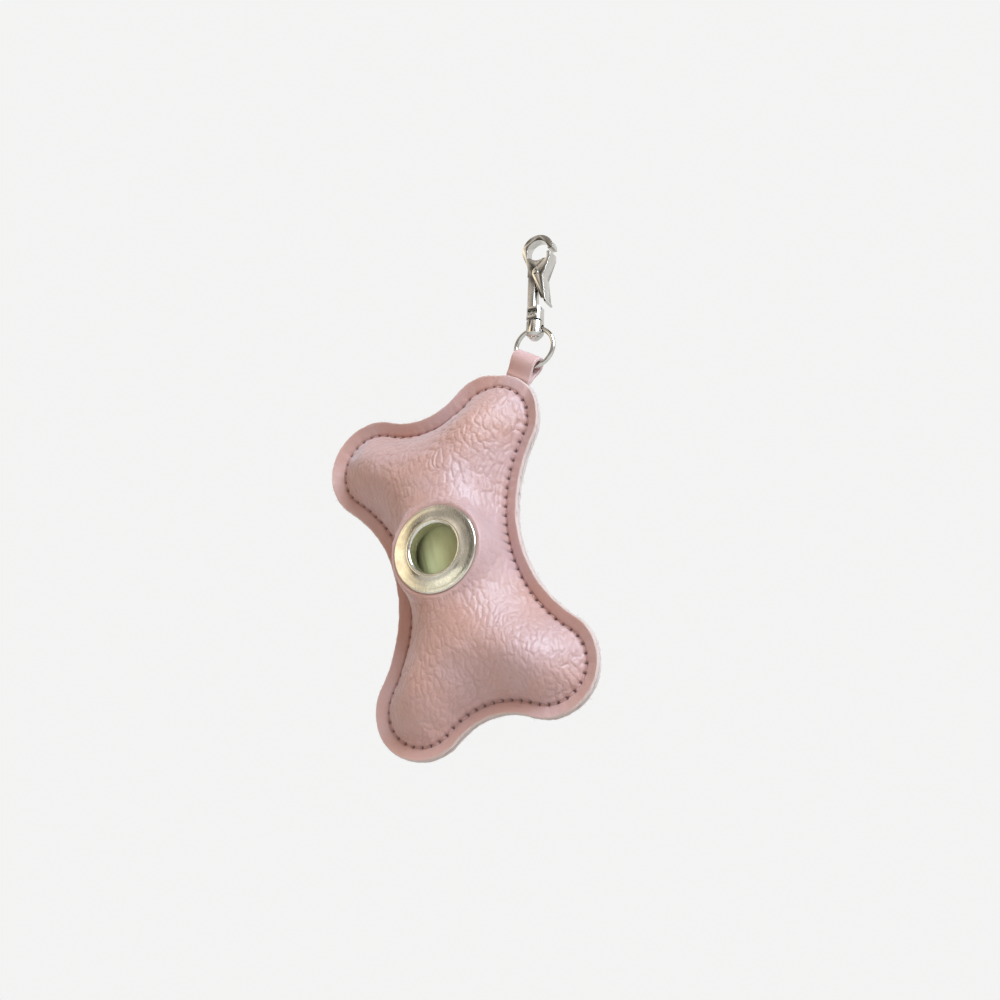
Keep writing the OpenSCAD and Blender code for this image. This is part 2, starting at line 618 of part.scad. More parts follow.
// Lever: a folded channel astride the ear. Its web closes the mouth at the top and runs down
// beside the bar; the cheeks narrow below the pivot and hide the gap to the bar.
module trigger_lever() {
    arm = pivot_s - lever_foot_s;
    flare = arm * sin(lever_travel) + 0.35;
    tip_x = bow_x + bow_r;                  // the web's inner face at the mouth
    tip_t = 1.1;
    back_x = ear_x + pivot_r + 1.15;        // at the pivot
    back_s = pivot_s - 1.4;
    foot_x = bar_x + flare;                 // and at the foot
    kick = 0.5;
    lip_s = throat_s - 0.2;                 // where the cheeks start, under the mouth
    cheek_w = 1.3;
    color("silver") on_snap() difference() {
        union() {
            through(2 * (lever_y + lever_t)) polygon([
                [tip_x, lever_top_s], [tip_x + tip_t, lever_top_s], [tip_x + tip_t, throat_s],
                [back_x + lever_t, back_s], [foot_x + lever_t, lever_foot_s + 2 * kick],
                [foot_x + lever_t + kick, lever_foot_s], [foot_x + 0.8 * kick, lever_foot_s - 0.2],
                [foot_x, lever_foot_s + 2 * kick], [back_x, back_s],
                [back_x, lip_s - 1.7], [tip_x, lip_s]]);
            for (side = [-1, 1]) translate([0, side * (lever_y + lever_t / 2), 0])
                through(lever_t) polygon([
                    [ear_x - 1.1, pivot_s - 0.6], [ear_x - 1.1, pivot_s + 0.8],
                    [ear_x + 0.4, lip_s - 1.6], [tip_x, lip_s],
                    [back_x + lever_t / 2, back_s],
                    [foot_x + lever_t / 2, lever_foot_s + 2 * kick],
                    [foot_x - 0.6 * cheek_w, lever_foot_s + 2 * kick + 0.3],
                    [foot_x - cheek_w, lever_foot_s + 2 * kick + 1.6], [ear_x - 0.2, back_s - 1.2]]);
        }
        translate([ear_x, 0, pivot_s]) rotate([90, 0, 0])
            cylinder(h = 2 * (lever_y + lever_t + overcut), r = pivot_r, center = true, $fn = 48);
    }
}
module lever_pin() {
    color("silver") on_snap() translate([ear_x, 0, pivot_s]) rotate([90, 0, 0]) {
        cylinder(h = 2 * (lever_y + lever_t), r = pivot_r, center = true, $fn = 48);
        for (side = [-1, 1]) translate([0, 0, side * (lever_y + lever_t + 0.1)])
            cylinder(h = 0.2, r = pivot_r + 0.25, center = true, $fn = 48);
    }
}

// A wire of round section swept along points
module wire(path, r, sides = 8) {
    n = len(path);
    function tangent(i) =
        let (d = path[min(i + 1, n - 1)] - path[max(i - 1, 0)]) d / norm(d);
    function across(t) = let (c = cross(t, [0, 1, 0.13])) c / norm(c);
    pts = [for (i = [0 : n - 1])
        let (t = tangent(i), u = across(t), v = cross(t, u))
        for (k = [0 : sides - 1])
            path[i] + r * (cos(360 * k / sides) * u + sin(360 * k / sides) * v)];
    faces = concat(
        [[for (k = [0 : sides - 1]) k]],
        [for (i = [0 : n - 2]) for (k = [0 : sides - 1])
            [i * sides + k, (i + 1) * sides + k, (i + 1) * sides + (k + 1) % sides,
                i * sides + (k + 1) % sides]],
        [[for (k = [sides - 1 : -1 : 0]) (n - 1) * sides + k]]);
    polyhedron(pts, faces, convexity = 8);
}

// Torsion spring: a coil round the pin, one leg on the bar and one under the lever's web
module trigger_spring() {
    turns = 2.5;
    steps = 40;
    rise = 2 * spring_wire_r + 0.08;
    width = turns * rise;
    coil = [for (i = [0 : steps])
        let (t = -90 + 360 * turns * i / steps)
        [ear_x + spring_coil_r * cos(t), -width / 2 + width * i / steps,
            pivot_s + spring_coil_r * sin(t)]];
    leg = [bar_x + spring_wire_r, -width / 2, pivot_s - 3.4];
    color("silver") on_snap() wire(concat([leg], coil), spring_wire_r);
}

front_panel();
back_panel();
hanging_strap();
eyelet();
eyelet_washer();
zip_tape_left();
zip_tape_right();
zip_teeth_left();
zip_teeth_right();
zip_top_stops();
zip_bottom_stop();
zip_slider();
zip_pull();
bag_roll();
roll_core();
swivel_ring();
swivel_barrel();
swivel_rivet();
hook_body();
trigger_lever();
lever_pin();
trigger_spring();
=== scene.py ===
import json
from math import atan2, cos, pi, radians, sin, sqrt

import bmesh
import bpy
import numpy as np
from mathutils import Matrix, Vector
from mathutils.geometry import delaunay_2d_cdt

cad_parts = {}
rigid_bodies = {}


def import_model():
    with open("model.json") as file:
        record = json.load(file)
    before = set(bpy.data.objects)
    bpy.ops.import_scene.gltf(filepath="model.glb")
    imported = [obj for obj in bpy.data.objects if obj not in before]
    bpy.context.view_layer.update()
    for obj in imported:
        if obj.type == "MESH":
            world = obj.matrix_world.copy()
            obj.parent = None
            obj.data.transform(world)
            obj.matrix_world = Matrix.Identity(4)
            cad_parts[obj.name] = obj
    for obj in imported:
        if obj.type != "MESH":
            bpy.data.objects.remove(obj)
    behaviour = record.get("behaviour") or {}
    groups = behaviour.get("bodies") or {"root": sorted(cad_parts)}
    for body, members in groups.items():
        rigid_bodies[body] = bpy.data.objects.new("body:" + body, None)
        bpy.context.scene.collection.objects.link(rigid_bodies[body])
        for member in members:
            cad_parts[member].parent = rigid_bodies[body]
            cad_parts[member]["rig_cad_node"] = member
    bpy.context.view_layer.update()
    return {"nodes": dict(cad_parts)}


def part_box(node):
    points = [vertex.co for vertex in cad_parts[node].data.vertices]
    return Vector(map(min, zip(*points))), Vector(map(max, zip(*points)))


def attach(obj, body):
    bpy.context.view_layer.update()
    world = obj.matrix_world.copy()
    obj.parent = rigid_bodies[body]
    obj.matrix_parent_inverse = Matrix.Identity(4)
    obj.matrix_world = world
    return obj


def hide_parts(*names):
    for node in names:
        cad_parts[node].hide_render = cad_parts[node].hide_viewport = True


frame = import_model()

MM = 0.001
rng = np.random.default_rng(20)

# ---- sizes in mm, as the CAD has them: x and z lie in the seam plane, and -y is the front
LEATHER = 1.6                               # thickness of a panel
SEAM = 3.7                                  # from the cut edge to the stitch line
WAIST_R, LOBE_R, NOTCH_R = 40.0, 14.5, 20.0
WAIST_HALF = 19.5
ROLL_R, ROLL_LEN, ROLL_Y, CORE_R = 13.5, 58.0, 0.6, 6.0
LOBE_Z = ROLL_LEN / 2 + 7.5
SIDE_RUN = 10.0                             # from the seam to the top of the CAD's dome
FRONT_H, BACK_H = 15.8, 18.2
FLANGE_R, HOLE_R, SHEET, EYELET_LIP = 12.5, 7.0, 0.5, 1.45
HOLE_GAP = 0.1                              # between the front panel and the eyelet's barrel
ZIP_SEAT_X, ZIP_SEAT_Z = 8.05, 32.6
SLOT_HALF, SLOT_END, SLOT_CORNER = 4.5, 28.8, 2.0
STRAP_W, STRAP_T, STRAP_ANGLE = 8.0, 1.1, radians(43)

WAIST_CX = WAIST_HALF + WAIST_R
LOBE_X = WAIST_CX - sqrt((WAIST_R + LOBE_R) ** 2 - LOBE_Z ** 2)
NOTCH_CZ = LOBE_Z + sqrt((NOTCH_R + LOBE_R) ** 2 - LOBE_X ** 2)
WAIST_END = atan2(LOBE_Z, WAIST_CX - LOBE_X)
NOTCH_END = atan2(LOBE_X, NOTCH_CZ - LOBE_Z)
LOBE_FROM, LOBE_TO = -WAIST_END, pi / 2 + NOTCH_END

low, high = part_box("front_panel")
CENTRE = np.array([(low.x + high.x) / 2, high.y, (low.z + high.z) / 2])


def box_mm(node):
    """A node's box in the pouch's frame, in mm."""
    lo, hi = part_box(node)
    return (np.array(lo) - CENTRE) / MM, (np.array(hi) - CENTRE) / MM


# ---- small maths
def clamp01(v):
    return np.clip(v, 0.0, 1.0)


def smooth(v):
    """From 0 to 1 as v does the same, level at both ends."""
    t = clamp01(v)
    return t * t * (3 - 2 * t)


def mix(a, b, t):
    return a + (b - a) * t


def columns(*values):
    return np.stack(values, axis=1)


def unit_rows(v):
    return v / np.linalg.norm(v, axis=1, keepdims=True)


def bell(v, width):
    """1 where v is 0, and nearly 0 two widths away."""
    return np.exp(-((v / width) ** 2))


def fade(v, width, power=2):
    """1 up to 0, then down to 0 at width, steepest at first."""
    return (1 - clamp01(v / width)) ** power


def lattice(i, seed):
    """A number from 0 to 1 for each whole-number point, the same at every run."""
    h = (i[..., 0] * 73856093) ^ (i[..., 1] * 19349663) ^ (i[..., 2] * 83492791) ^ (seed * 6542989)
    h = (h & 0xFFFFFFFF).astype(np.uint64)
    for shift, factor in ((15, 0x2C1B3C6D), (12, 0x297A2D39)):
        h = h ^ (h >> np.uint64(shift))
        h = (h * np.uint64(factor)) & np.uint64(0xFFFFFFFF)
    h = h ^ (h >> np.uint64(15))
    return h.astype(float) / 2.0 ** 32


def value_noise(p, size, seed):
    """Smooth noise from -1 to 1, with bumps about size mm across."""
    q = p / size
    base = np.floor(q).astype(np.int64)
    f = q - base
    f = f * f * (3 - 2 * f)
    total = np.zeros(len(p))
    for corner in np.ndindex(2, 2, 2):
        c = np.array(corner)
        weight = np.prod(np.where(c == 1, f, 1 - f), axis=1)
        total += weight * lattice(base + c, seed)
    return 2 * total - 1


def run_noise(run, size, seed):
    """value_noise() by the place along a line alone."""
    flat = np.zeros_like(run)
    return value_noise(columns(run, flat, flat), size, seed)


def cells(p, size, seed):
    """Distance in mm from each point to the border between its cell and the next."""
    q = p / size
    base = np.floor(q).astype(np.int64)
    first = np.full(len(p), 9.0)
    second = np.full(len(p), 9.0)
    for step in np.ndindex(3, 3, 3):
        c = base + np.array(step) - 1
        point = c + columns(*[lattice(c, seed + k) for k in (1, 2, 3)])
        dist = np.linalg.norm(q - point, axis=1)
        nearer = dist < first
        second = np.where(nearer, first, np.minimum(second, dist))
        first = np.where(nearer, dist, first)
    return (second - first) * size


# ---- the pouch's outline. Its stitch line is four equal quarters, each of three arcs
STITCH_R = (WAIST_R + SEAM, LOBE_R - SEAM, NOTCH_R + SEAM)
RUN_W = STITCH_R[0] * WAIST_END
RUN_L = STITCH_R[1] * (LOBE_TO - LOBE_FROM)
RUN_N = STITCH_R[2] * NOTCH_END
QUARTER = RUN_W + RUN_L + RUN_N
STITCHES = round(4 * QUARTER / 2.7)
PITCH = 4 * QUARTER / STITCHES


def edge_place(p):
    """Distance in from the cut edge, and how far along the stitch line the nearest point lies."""
    x, z = np.abs(p[:, 0]), np.abs(p[:, 1])
    t = np.arctan2(z - LOBE_Z, x - LOBE_X)
    on_lobe = (t >= LOBE_FROM) & (t <= LOBE_TO)
    d_waist = np.hypot(x - WAIST_CX, z) - WAIST_R
    d_notch = np.hypot(x, z - NOTCH_CZ) - NOTCH_R
    d_lobe = LOBE_R - np.hypot(x - LOBE_X, z - LOBE_Z)
    d = np.where(on_lobe, d_lobe, np.minimum(d_waist, d_notch))
    s_waist = STITCH_R[0] * np.arctan2(z, WAIST_CX - x)
    s_lobe = RUN_W + STITCH_R[1] * (t - LOBE_FROM)
    s_notch = RUN_W + RUN_L + STITCH_R[2] * (NOTCH_END - np.arctan2(x, NOTCH_CZ - z))
    s = np.where(on_lobe, s_lobe, np.where(d_waist < d_notch, s_waist, s_notch))
    right, top = p[:, 0] >= 0, p[:, 1] >= 0
    whole = np.where(top, np.where(right, s, 2 * QUARTER - s),
                     np.where(right, 4 * QUARTER - s, 2 * QUARTER + s))
    return d, whole


def seam_point(run, inset):
    """The point inset from the cut edge at a place along the stitch line, and the way inwards."""
    m = run % (4 * QUARTER)
    part = int(m // QUARTER)
    s = (m, 2 * QUARTER - m, m - 2 * QUARTER, 4 * QUARTER - m)[part]
    sign = np.array(((1, 1), (-1, 1), (-1, -1), (1, -1))[part])
    if s < RUN_W:
        a = s / STITCH_R[0]
        inward = np.array([-cos(a), sin(a)])
        point = np.array([WAIST_CX, 0]) + (WAIST_R + inset) * inward
    elif s < RUN_W + RUN_L:
        a = LOBE_FROM + (s - RUN_W) / STITCH_R[1]
        inward = -np.array([cos(a), sin(a)])
        point = np.array([LOBE_X, LOBE_Z]) - (LOBE_R - inset) * inward
    else:
        a = NOTCH_END - (s - RUN_W - RUN_L) / STITCH_R[2]
        inward = np.array([sin(a), -cos(a)])
        point = np.array([0, NOTCH_CZ]) + (NOTCH_R + inset) * inward
    return point * sign, inward * sign


# ---- the height of the leather. side is -1 for the front panel and 1 for the back, and layer
# is 0 for the grain side and 1 for the flesh side
def seat(p, side, layer):
    """1 on the flat seat of the eyelet or the zip, easing to 0 round it."""
    if side < 0:
        ease = 3.2 - 0.5 * layer
        return smooth((FLANGE_R + ease - np.hypot(p[:, 0], p[:, 1])) / (ease - 0.4))
    ease = 7.5 - layer
    q = np.hypot(np.maximum(0, np.abs(p[:, 0]) - ZIP_SEAT_X),
                 0.8 * np.maximum(0, np.abs(p[:, 1]) - ZIP_SEAT_Z))
    return smooth((ease - q) / ease)


def strap_zone(p, d, ease=1.8):
    """1 where the strap's tail lies between the two panels."""
    x, z = p[:, 0] - LOBE_X, p[:, 1] - LOBE_Z
    across = np.abs(x * cos(STRAP_ANGLE) - z * sin(STRAP_ANGLE))
    ahead = x * sin(STRAP_ANGLE) + z * cos(STRAP_ANGLE)
    return (smooth((STRAP_W / 2 + ease - across) / ease) * smooth((9 - d) / 3)
            * (ahead > 0) * (p[:, 0] > 0) * (p[:, 1] > 0))


def pulled(inset):
    """The steep rise from the seam, which the thread holds down."""
    return 1 - (1 - clamp01(inset / 3.5)) ** 3


def neighbours(field):
    """The sum of the known values, those over 0, in each 3 by 3 block, and how many they are."""
    def block(f):
        return sum(np.roll(f, (a, b), (0, 1)) for a in (-1, 0, 1) for b in (-1, 0, 1))
    return block(field), np.maximum(block((field > 0).astype(float)), 1)


GRID = 0.6
GRID_X, GRID_Z = np.arange(-60, 61) * GRID, np.arange(-88, 89) * GRID


def inflate(side, layer):
    """The stuffed leather as a membrane under pressure, held up by the roll and by the seat of
    the eyelet or the zip: its height over pulled(), on a grid."""
    steps, over_relax = 500, 1.9
    x, z = np.meshgrid(GRID_X, GRID_Z, indexing="ij")
    p = columns(x.ravel(), z.ravel())
    inset = (edge_place(p)[0] - SEAM - 0.8 * layer * LEATHER).reshape(x.shape)
    base = LEATHER * (1 - layer)
    full = (FRONT_H if side < 0 else BACK_H) - layer * LEATHER - base
    roll = np.sqrt(np.maximum(0, (ROLL_R + 0.2) ** 2 - x ** 2)) + side * ROLL_Y
    floor = np.where(np.abs(z) < ROLL_LEN / 2 + 0.3, roll, 0)
    floor = np.where(inset > 0, np.minimum(floor, 3.2 * np.maximum(inset, 0) ** 0.8), 0)
    pinned = seat(p, side, layer).reshape(x.shape) > 0.9
    inner, outer = inset > 0, (inset <= 0) & (inset > -1.5 * GRID)
    u = np.where(inner, np.maximum(floor, 6.0), 0.0)
    parity = np.add.outer(np.arange(len(GRID_X)), np.arange(len(GRID_Z))) % 2
    push = 0.04 + 0.19 * bell(np.hypot(np.abs(x) - LOBE_X, np.abs(z) - LOBE_Z), 12)
    for k in range(steps):
        near = sum(np.roll(u, s, a) for s, a in ((1, 0), (-1, 0), (1, 1), (-1, 1))) / 4
        step = u + over_relax * (near + push * GRID ** 2 / 4 - u)
        u = np.where(inner & (parity == k % 2), np.clip(step, floor, full), u)
        u = np.where(pinned, full, u)
        if k % 10 == 9:
            # carry the slope at the seam over the border, so that the height is 0 right on it
            slope = np.where(inner & (inset > 0.3), u / np.maximum(inset, 0.3), 0)
            total, known = neighbours(slope)
            u = np.where(outer, inset * total / known, u)
    ratio = np.where(inset > 0.9, u / pulled(np.maximum(inset, 0.9)), 0)
    for _ in range(4):
        total, known = neighbours(ratio)
        ratio = np.where(ratio > 0, ratio, total / known)
    return ratio


MEMBRANE = {(side, layer): inflate(side, layer) for side in (-1, 1) for layer in (0, 1)}


def sample(field, p):
    """The field at points, through a smooth 3 by 3 spline."""
    q = (p - np.array([GRID_X[0], GRID_Z[0]])) / GRID
    cell = np.clip(np.round(q).astype(int), 1, np.array(field.shape) - 2)
    f = q - cell
    w = (0.5 * (0.5 - f) ** 2, 0.75 - f ** 2, 0.5 * (0.5 + f) ** 2)
    total = np.zeros(len(p))
    for a in range(3):
        for b in range(3):
            total += w[a][:, 0] * w[b][:, 1] * field[cell[:, 0] + a - 1, cell[:, 1] + b - 1]
    return total


def height(p, side, layer):
    """Height of the leather over the seam plane."""
    d = edge_place(p)[0]
    inset = d - SEAM - 0.8 * layer * LEATHER
    full = (FRONT_H if side < 0 else BACK_H) - layer * LEATHER
    base = LEATHER if layer == 0 else 0.0
    # close to the seam the grid is too coarse, so it is read a little further in
    short = np.maximum(0, 1.0 - inset) * (inset > -0.5)
    nudge = 0.01
    way = columns(*[edge_place(p + np.array(e))[0] - d for e in ((nudge, 0), (0, nudge))]) / nudge
    h = sample(MEMBRANE[side, layer], p + way * short[:, None])
    h = mix(base + h * pulled(np.maximum(inset, 0)), full, seat(p, side, layer))
    tail = 0.5 * strap_zone(p, d)
    if layer == 0:
        bead = 0.14 * np.sin(np.pi * clamp01(d / SEAM)) ** 0.8
        groove = 0.42 * bell(d - SEAM, 0.38) * (1 - smooth((d - SEAM) / 1.2))
        rim = 0.24 * fade(d, 0.4, 2.2)
        h = h + (bead - groove - rim)
    return h + tail


def flutter(p, d, run):
    """The seam allowance curls to the front and waves a little, both panels together."""
    ends = np.minimum(run, 4 * QUARTER - run)
    wave = run_noise(run, 17.0, 5) * smooth(ends / 12)
    curl = (1.4 + 0.9 * smooth((p[:, 1] - 18) / 22)) * clamp01((4.4 - d) / 4.4) ** 1.4
    return (0.4 * wave * smooth((5.2 - d) / 5.2) - curl) * (1 - strap_zone(p, d * 0, 7.0))


# ---- mesh helpers
def link(name, data):
    obj = bpy.data.objects.new(name, data)
    bpy.context.scene.collection.objects.link(obj)
    return obj


def new_object(name, shape, body, mat, replaces=(), sharp=None):
    """A smooth-shaded mesh from points in the pouch's frame, in mm, and faces."""
    points, faces = shape
    mesh = bpy.data.meshes.new(name)
    mesh.from_pydata((np.asarray(points, float) * MM + CENTRE).tolist(), [],
                     [tuple(map(int, f)) for f in faces])
    mesh.validate()
    mesh.update()
    mesh.shade_smooth()
    if sharp is not None:
        mesh.set_sharp_from_angle(angle=radians(sharp))
    obj = link(name, mesh)
    obj.data.materials.append(mat)
    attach(obj, body)
    if replaces:
        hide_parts(*replaces)
    return obj


def set_marks(obj, marks):
    """Stores three marks at each point, for its material: painted shade in creases and on the seam
    allowance, the pale cut edge, which beside the edge is partly a painted rim highlight, and
    painted shade at holes and joints.
    """
    layer = obj.data.attributes.new("marks", "FLOAT_COLOR", "POINT")
    full = np.concatenate([marks, np.ones((len(marks), 1))], axis=1)
    layer.data.foreach_set("color", full.astype(np.float32).ravel())


def strip(a, b, count):
    """Quads between two closed rows of count points, whose first points are a and b."""
    return [(a + i, b + i, b + (i + 1) % count, a + (i + 1) % count) for i in range(count)]


def band(rows, count, first=0):
    """Strips from each row to the next."""
    starts = range(first, first + (rows - 1) * count, count)
    return [quad for a in starts for quad in strip(a, a + count, count)]


def capped(rows, count, first=0):
    """A band with a face over each end."""
    row = list(range(first, first + count))
    return band(rows, count, first) + [row, [(rows - 1) * count + i for i in row][::-1]]


def looped(rows, count):
    """A band whose last row joins the first."""
    return band(rows, count) + strip((rows - 1) * count, 0, count)


def normals_of(points, faces):
    """Area-weighted normals at the points."""
    tris = np.array([(f[0], f[k], f[k + 1]) for f in faces for k in range(1, len(f) - 1)])
    a, b, c = points[tris[:, 0]], points[tris[:, 1]], points[tris[:, 2]]
    n = np.cross(b - a, c - a)
    out = np.zeros_like(points)
    for k in range(3):
        np.add.at(out, tris[:, k], n)
    return out / np.maximum(np.linalg.norm(out, axis=1, keepdims=True), 1e-12)


def fill_plan(outer, inner, spacing, inside):
    """Triangles of even size between two plan loops: the points that are added, and the faces.
    inside() gives the distance in from the nearer loop."""
    lo, hi = outer.min(0), outer.max(0)
    grid = []
    row_h = spacing * sqrt(3) / 2
    for j in range(int((hi[1] - lo[1]) / row_h) + 1):
        x0 = lo[0] + (spacing / 2 if j % 2 else 0)
        xs = np.arange(x0, hi[0], spacing)
        grid.append(columns(xs, np.full(len(xs), lo[1] + j * row_h)))
    grid = np.concatenate(grid)
    grid = grid[inside(grid) > 0.55 * spacing]
    points = np.concatenate([outer, inner, grid])
    n, m = len(outer), len(inner)
    edges = [(i, (i + 1) % n) for i in range(n)]
    edges += [(n + i, n + (i + 1) % m) for i in range(m)]
    tiny = 1e-7
    result = delaunay_2d_cdt([Vector(p) for p in points], edges, [], 0, tiny)
    faces, origin = result[2], result[3]
    back = [o[0] for o in origin]
    tris = np.array([[back[i] for i in f] for f in faces])
    tris = tris[inside(points[tris].mean(axis=1)) > 0]
    a, b, c = points[tris[:, 0]], points[tris[:, 1]], points[tris[:, 2]]
    area = (b[:, 0] - a[:, 0]) * (c[:, 1] - a[:, 1]) - (b[:, 1] - a[:, 1]) * (c[:, 0] - a[:, 0])
    tris[area < 0] = tris[area < 0][:, ::-1]
    return grid, tris[np.abs(area) > tiny]


def circle_loop(r, count):
    t = np.arange(count) * 2 * np.pi / count
    return columns(r * np.cos(t), r * np.sin(t))


def line_length(points):
    """How far along a line each of its points lies."""
    return np.concatenate([[0], np.cumsum(np.linalg.norm(np.diff(points, axis=0), axis=1))])


# the corners of a rounded rectangle: two signs, and the angle in degrees where its arc starts
CORNERS = ((1, 1, 0), (-1, 1, 90), (-1, -1, 180), (1, -1, 270))


def slot_loop(half_x, half_z, corner, spacing):
    """A rounded rectangle, counter-clockwise, evenly spaced."""
    pts = []
    for cx, cz, start in CORNERS:
        for k in range(13):
            t = radians(start + 7.5 * k)
            pts.append((cx * (half_x - corner) + corner * cos(t),
                        cz * (half_z - corner) + corner * sin(t)))
    pts = np.array(pts + pts[:1])
    length = line_length(pts)
    at = np.linspace(0, length[-1], int(length[-1] / spacing), endpoint=False)
    return columns(*[np.interp(at, length, pts[:, k]) for k in (0, 1)])


def slot_gap(p):
    """Distance from the edge of the zip's opening, positive outside it."""
    q = np.abs(p) - np.array([SLOT_HALF - SLOT_CORNER, SLOT_END - SLOT_CORNER])
    return (np.linalg.norm(np.maximum(q, 0), axis=1)
            + np.minimum(np.maximum(q[:, 0], q[:, 1]), 0) - SLOT_CORNER)


# ---- node materials
class Nodes:
    """Builds a node tree. Methods take plain values or outputs, and give their node's output."""

    def __init__(self, tree):
        tree.nodes.clear()
        self.tree = tree

    def put(self, socket, value):
        if isinstance(value, bpy.types.NodeSocket):
            self.tree.links.new(value, socket)
        else:
            socket.default_value = value

    def add(self, kind, inputs=(), **props):
        """The node itself, not its output."""
        node = self.tree.nodes.new("ShaderNode" + kind)
        for key, value in props.items():
            setattr(node, key, value)
        for key, value in dict(inputs).items():
            self.put(node.inputs[key], value)
        return node

    def maths(self, op, a, b, clamp=False):
        return self.add("Math", {0: a, 1: b}, operation=op, use_clamp=clamp).outputs[0]

    def plus(self, a, b, clamp=False):
        return self.maths("ADD", a, b, clamp)

    def times(self, a, b):
        return self.maths("MULTIPLY", a, b)

    def larger(self, a, b):
        return self.maths("MAXIMUM", a, b)

    def blend(self, factor, a, b):
        return self.add("Mix", {0: factor, 6: a, 7: b}, data_type="RGBA").outputs[2]

    def noise(self, where, scale, detail=4.0, rough=0.55):
        return self.add("TexNoise", {"Vector": where, "Scale": scale, "Detail": detail,
                                     "Roughness": rough}).outputs[0]

    def wave(self, where, scale, distortion, detail=2.0, **props):
        return self.add("TexWave", {"Vector": where, "Scale": scale, "Distortion": distortion,
                                    "Detail": detail}, **props).outputs[1]

    def ramp(self, value, low_in, high_in, low_out=0.0, high_out=1.0):
        return self.add("MapRange", {0: value, 1: low_in, 2: high_in, 3: low_out, 4: high_out},
                        clamp=True).outputs[0]

    def spread(self, value, low_out=0.0, high_out=1.0):
        """A noise, whose values keep to the middle, stretched over a whole range."""
        return self.ramp(value, 0.3, 0.7, low_out, high_out)

    def place(self, scale=(1, 1, 1), turn=(0, 0, 0)):
        coords = self.add("TexCoord").outputs["Object"]
        return self.add("Mapping", {"Vector": coords, "Rotation": turn,
                                    "Scale": scale}).outputs[0]

    def marks(self):
        """Painted crease shade, cut edge and painted hole shade, as set_marks() stored them."""
        mark = self.add("Attribute", attribute_name="marks", attribute_type="GEOMETRY")
        return self.add("SeparateColor", {"Color": mark.outputs["Color"]}).outputs


def material(name, build, **plain):
    """A Principled material. build() gives its colour, its roughness and, where it has a bump,
    the bump's height, strength and depth in metres. plain sets the shader's other values."""
    mat = bpy.data.materials.new(name)
    mat.use_nodes = True
    n = Nodes(mat.node_tree)
    shader = n.add("BsdfPrincipled", {k.replace("_", " "): v for k, v in plain.items()})
    n.add("OutputMaterial", {0: shader.outputs[0]})
    colour, rough, *bump = build(n)
    n.put(shader.inputs["Base Color"], colour)
    n.put(shader.inputs["Roughness"], rough)
    if bump:
        bump = n.add("Bump", dict(zip(("Height", "Strength", "Distance"), bump)))
        n.put(shader.inputs["Normal"], bump.outputs[0])
    return mat


def rgb(r, g, b):
    """A colour as it is seen on a screen, 0 to 255, as linear light."""
    def line(v):
        v /= 255
        return v / 12.92 if v <= 0.04045 else ((v + 0.055) / 1.055) ** 2.4
    return (line(r), line(g), line(b), 1.0)


PINK = rgb(197, 150, 139)
# a darker pink: for darker tones at random, and for the painted shade in creases, pore lines and on
# the seam allowance
PINK_DEEP = rgb(158, 110, 101)
PINK_WARM = rgb(198, 146, 129)
PINK_COOL = rgb(199, 160, 157)
EDGE_PALE, EDGE_DARK = rgb(212, 187, 175), rgb(198, 168, 156)
# painted shade for the needle holes and for the joint between the two panels
PAINTED_HOLE_SHADE = rgb(84, 44, 40)
COOL_SHEEN = (0.86, 0.9, 1.0, 1.0)


def leather_nodes(n):
    """Grained leather in warmer and cooler patches, with painted shade in its pore lines, creases,
    seam allowance and needle holes, and pale fibres where it is cut, which beside the edge are
    partly a painted rim highlight."""
    where = n.place()
    patchy, fine = n.noise(where, 160, 5), n.noise(where, 2600)
    colour = n.blend(n.ramp(n.noise(where, 45, 2), 0.35, 0.65), PINK_WARM, PINK_COOL)
    colour = n.blend(n.spread(patchy, 0, 0.55), colour, PINK)
    colour = n.blend(n.ramp(fine, 0.25, 0.75, 0.14, 0.0), colour, PINK_DEEP)
    pores = n.add("TexVoronoi", {"Vector": where, "Scale": 1150, "Randomness": 1.0},
                  feature="DISTANCE_TO_EDGE").outputs[0]
    # painted shade in the lines of the pore net
    colour = n.blend(n.ramp(pores, 0.0, 0.10, 0.09, 0.0), colour, PINK_DEEP)
    painted_shade, cut, painted_hole_shade = n.marks()
    # painted shade: darker in the creases and evenly darker over the seam allowance
    colour = n.blend(n.times(painted_shade, 0.4), colour, PINK_DEEP)
    fibre = n.noise(n.place((1, 0.35, 1)), 5200, 3)
    # the raw cut edge's own paler colour; the pale band on the grain side beside it is partly a
    # painted rim highlight
    colour = n.blend(cut, colour, n.blend(n.spread(fibre), EDGE_PALE, EDGE_DARK))
    # painted shade at the needle holes and along the joint between the panels
    colour = n.blend(painted_hole_shade, colour, PAINTED_HOLE_SHADE)
    rough = n.plus(n.spread(patchy, 0.40, 0.50), n.times(cut, 0.35), True)
    relief = n.plus(n.times(n.ramp(pores, 0.0, 0.12), 0.6), n.times(fine, 0.5))
    relief = n.plus(relief, n.times(n.times(fibre, cut), 1.2))
    return colour, rough, relief, 0.30, 0.00016


def smooth_leather_nodes(n):
    """The strap's leather, without a grain, and with fibres on its two cut edges."""
    where = n.place()
    broad, fine = n.noise(where, 140, 3), n.noise(where, 3200, 5)
    cut = n.marks()[1]
    colour = n.blend(n.spread(broad), rgb(206, 160, 152), rgb(214, 176, 172))
    colour = n.blend(n.spread(fine, 0.16, 0.0), colour, PINK_DEEP)
    fibre = n.noise(n.place((1, 0.4, 1)), 5200, 3)
    raw = n.blend(n.spread(fibre), rgb(224, 194, 188), rgb(196, 154, 146))
    rough = n.plus(n.spread(broad, 0.36, 0.48), n.times(cut, 0.35), True)
    return n.blend(cut, colour, raw), rough, fine, 0.25, 0.00008


